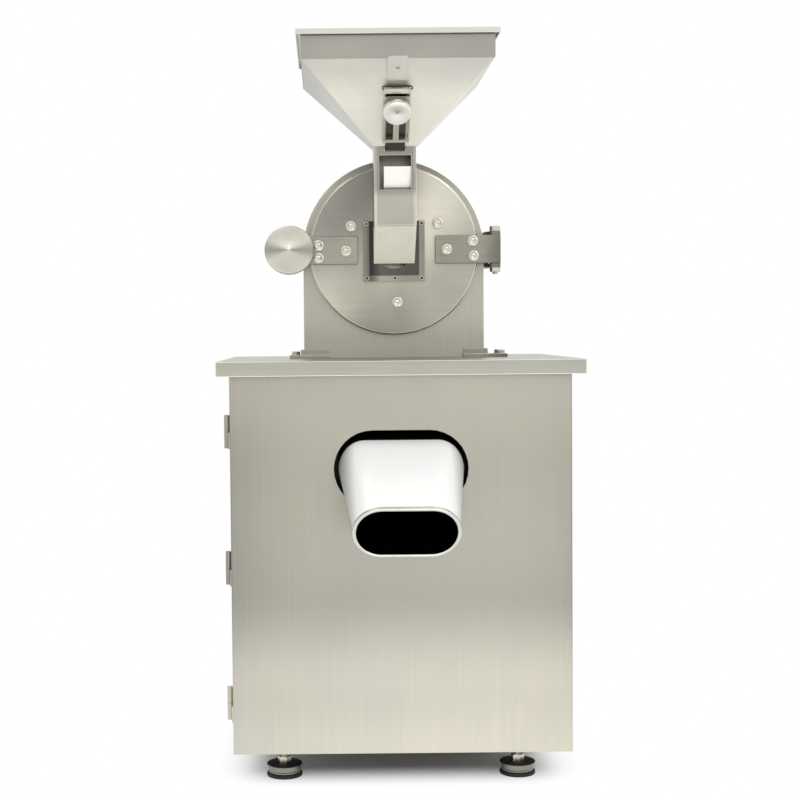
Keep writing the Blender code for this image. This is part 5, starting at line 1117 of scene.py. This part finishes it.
def motor_fins(axis_z):
    """Cooling fins along the motor's barrel, except at its terminal box and its feet."""
    box_edge, feet_edge = 0.78, -0.68
    count, root, shoulder, tip = 44, 0.1005, 0.1035, 0.1095
    root_half, tip_half = 0.0014, 0.0009
    end_inset, ramp = 0.026, 0.006
    low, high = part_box("motor_body")
    start = low.y + end_inset
    end = high.y - end_inset
    stations = ((start, shoulder), (start + ramp, tip), (end - ramp, tip), (end, shoulder))
    work = bmesh.new()
    for i in range(count):
        angle = 2 * math.pi * i / count
        out = Vector((math.sin(angle), 0.0, math.cos(angle)))
        side = Vector((math.cos(angle), 0.0, -math.sin(angle)))
        if out.z > box_edge or out.z < feet_edge:
            continue
        rings = []
        for y, reach in stations:
            middle = Vector((0.0, y, axis_z))
            corners = (
                middle + out * root - side * root_half,
                middle + out * root + side * root_half,
                middle + out * reach + side * tip_half,
                middle + out * reach - side * tip_half,
            )
            rings.append([work.verts.new(corner) for corner in corners])
        loft(work, rings)
    mesh = mesh_from(work, "motor_fins")
    place_piece("motor_fins", mesh, "mill", (PAINT,))


def fan_grille(axis_z):
    """Wire rings and two crossed bars over the opening of the fan cover."""
    wire, bar_size = 0.0011, (0.064, 0.0018, 0.0032)
    centre = (0.0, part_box("fan_cover")[0].y + 0.0008, axis_z)
    work = bmesh.new()
    for radius in (0.008, 0.016, 0.024, 0.031):
        section = [(radius + u, v) for u, v in circle(wire, 8)]
        turn_rings(work, section, 48, lay(centre, FRONT))
    for degrees in (45, 135):
        turn = Matrix.Rotation(math.radians(degrees), 4, "Y")
        bar = Matrix.Translation(centre) @ turn @ Matrix.Diagonal((*bar_size, 1.0))
        bmesh.ops.create_cube(work, size=1.0, matrix=bar)
    mesh = mesh_from(work, "fan_grille")
    place_piece("fan_grille", mesh, "mill", (PAINT,))


# Louvres of the rear panel


def louvre_hoods():
    """Pressed hoods over the slots of the rear panel, by (out of the panel, upwards)."""
    count, first_rise, step_up = 9, 0.1125, 0.026
    half_length, end_length, end_share, steps = 0.134, 0.012, 0.12, 24
    section = (
        (0.0, 0.0145), (0.0026, 0.0120), (0.0044, 0.0080), (0.0050, 0.0),
        (0.0040, 0.0), (0.0034, 0.0074), (0.0018, 0.0110), (0.0, 0.0128),
    )
    low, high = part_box("rear_panel")
    for index in range(count):
        base = low.z + first_rise + step_up * index
        work = bmesh.new()
        rings = []
        for step in range(steps + 1):
            x = -half_length + 2 * half_length * step / steps
            share = min(1.0, (half_length - abs(x)) / end_length)
            swell = end_share + (1 - end_share) * math.sin(share * math.pi / 2)
            points = [(x, high.y + out * swell, base + rise) for out, rise in section]
            rings.append([work.verts.new(point) for point in points])
        loft(work, rings)
        mesh = mesh_from(work, "louvre_hood", 35.0)
        place_piece(f"louvre_hood_{index}", mesh, "mill", (CABINET,))


# The pieces, which the CAD doesn't have or has in a simpler form

CHUTE_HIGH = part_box("discharge_chute")[1]
CHUTE_OUTLET = CHUTE_HIGH.y - PLATE_HALF_Y
SHAFT_LOW, SHAFT_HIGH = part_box("motor_shaft")
MOTOR_AXIS_Z = (SHAFT_LOW.z + SHAFT_HIGH.z) / 2

door_bolts()
bracket_bolts()
flange_screws()
latch_knob()
gate_knob()
hinge_pin()
feet()
feed_plate()
chute(CHUTE_OUTLET, CHUTE_HIGH.z)
chute_flange(CHUTE_OUTLET, CHUTE_HIGH.z)
gate_clip()
pin_disc(
    "stator_pins_detail", "stator_pin_disc", "door", bore=0.033, radius=0.108, thickness=0.008,
    rings=((0.058, 13), (0.086, 19)), direction=1, turn=0.5,
)
pin_disc(
    "rotor_pins_detail", "rotor_pin_disc", "rotor", bore=0.0123, radius=0.109, thickness=0.010,
    rings=((0.044, 10), (0.072, 16), (0.100, 22)), direction=-1, turn=0.0,
)
motor_fins(MOTOR_AXIS_Z)
fan_grille(MOTOR_AXIS_Z)
bearing_bolts()
louvre_hoods()
panel_screws()


# Studio

WORLD_SOFT = 0.80
FLOOR_SOFT = 0.75
FLOOR_HALF_X = 0.20
FLOOR_HALF_Y = 0.115
FLOOR_FADE = 0.14
FLOOR_SIZE = 30.0
WHITE = (1.0, 1.0, 1.0, 1.0)
WARM_WHITE = (1.0, 0.99, 0.97, 1.0)


def area_light(name, place, aim, size, radiance, tint=WHITE):
    """A soft box by its place, aim, size and brightness."""
    data = bpy.data.lights.new(name, "AREA")
    data.shape = "RECTANGLE"
    data.size, data.size_y = size
    data.energy = radiance * math.pi * size[0] * size[1]
    data.color = tint[:3]
    light = link(name, data)
    direction = Vector(aim) - Vector(place)
    light.location = place
    light.rotation_mode = "QUATERNION"
    light.rotation_quaternion = direction.to_track_quat("-Z", "Y")
    return light


def seen_directly(tree):
    """1 for rays from the camera, reflections and glass, and 0 for soft light."""
    path = add(tree, "ShaderNodeLightPath").outputs
    seen = math_node(tree, "MAXIMUM", path["Is Camera Ray"], path["Is Glossy Ray"])
    return math_node(tree, "MAXIMUM", seen, path["Is Transmission Ray"])


def make_world():
    world = bpy.data.worlds.new("studio")
    SCENE.world = world
    world.use_nodes = True
    tree = world.node_tree
    background = tree.nodes["Background"]
    background.inputs["Color"].default_value = WHITE
    share = seen_directly(tree)
    strength = math_node(tree, "MULTIPLY_ADD", share, 1.0 - WORLD_SOFT, WORLD_SOFT)
    tree.links.new(strength, background.inputs["Strength"])


def distance_outside(tree, coordinates):
    """How far a place on the floor is from the box under the mill's feet."""
    parts = split(tree, coordinates)
    squares = 0.0
    for axis, middle, half in (("X", 0.0, FLOOR_HALF_X), ("Y", MIDDLE_Y, FLOOR_HALF_Y)):
        offset = math_node(tree, "SUBTRACT", parts[axis], middle)
        reach = math_node(tree, "SUBTRACT", math_node(tree, "ABSOLUTE", offset), half)
        outside = math_node(tree, "MAXIMUM", reach, 0.0)
        squares = math_node(tree, "MULTIPLY_ADD", outside, outside, squares)
    return math_node(tree, "SQRT", squares)


def floor_material():
    """A white floor that takes a shadow near the mill and fades to plain white round it."""
    material, tree, shader, coordinates = start_material("studio_floor")
    shader.inputs["Roughness"].default_value = 0.9
    shader.inputs["Specular IOR Level"].default_value = 0.0
    share = seen_directly(tree)
    level = math_node(tree, "MULTIPLY_ADD", share, 1.0 - FLOOR_SOFT, FLOOR_SOFT)
    set_colour(tree, shader, WHITE, level)
    settings = {"From Min": 0.0, "From Max": FLOOR_FADE}
    fade = add(tree, "ShaderNodeMapRange", settings, interpolation_type="SMOOTHSTEP")
    tree.links.new(distance_outside(tree, coordinates), fade.inputs["Value"])
    white = add(tree, "ShaderNodeEmission", {"Color": WHITE, "Strength": 1.0})
    mix = add(tree, "ShaderNodeMixShader")
    tree.links.new(math_node(tree, "MULTIPLY", fade.outputs[0], share), mix.inputs[0])
    tree.links.new(shader.outputs[0], mix.inputs[1])
    tree.links.new(white.outputs[0], mix.inputs[2])
    tree.links.new(mix.outputs[0], tree.nodes["Material Output"].inputs["Surface"])
    return material


def make_floor():
    work = bmesh.new()
    bmesh.ops.create_grid(work, x_segments=1, y_segments=1, size=FLOOR_SIZE)
    floor = link("studio_floor", mesh_from(work, "studio_floor"))
    wear(floor, floor_material())


make_world()
make_floor()
area_light("overhead", (0.0, -0.6, 3.2), (0.0, 0.0, 0.6), (4.4, 3.2), 1.0)
area_light("key", (2.0, -2.3, 2.3), (0.0, 0.0, 0.7), (2.1, 2.1), 1.0, WARM_WHITE)
area_light("low_fill", (0.2, -2.0, 0.12), (0.0, 0.0, 1.1), (2.0, 0.6), 1.6)


# Camera

CAMERA_PLACE = (-0.127, -2.718, 0.774)
CAMERA_LENS = 68.7
CAMERA_SHIFT = 0.094
CAMERA_DOWN = 2.59
CAMERA_ROLL = -0.55


def make_camera():
    data = bpy.data.cameras.new("camera")
    data.lens = CAMERA_LENS
    data.shift_x = CAMERA_SHIFT
    camera = link("camera", data)
    pitch = Matrix.Rotation(math.radians(90 - CAMERA_DOWN), 4, "X")
    roll = Matrix.Rotation(math.radians(CAMERA_ROLL), 4, "Z")
    camera.matrix_world = Matrix.Translation(CAMERA_PLACE) @ pitch @ roll
    SCENE.camera = camera


make_camera()
SCENE.view_settings.view_transform = "Standard"
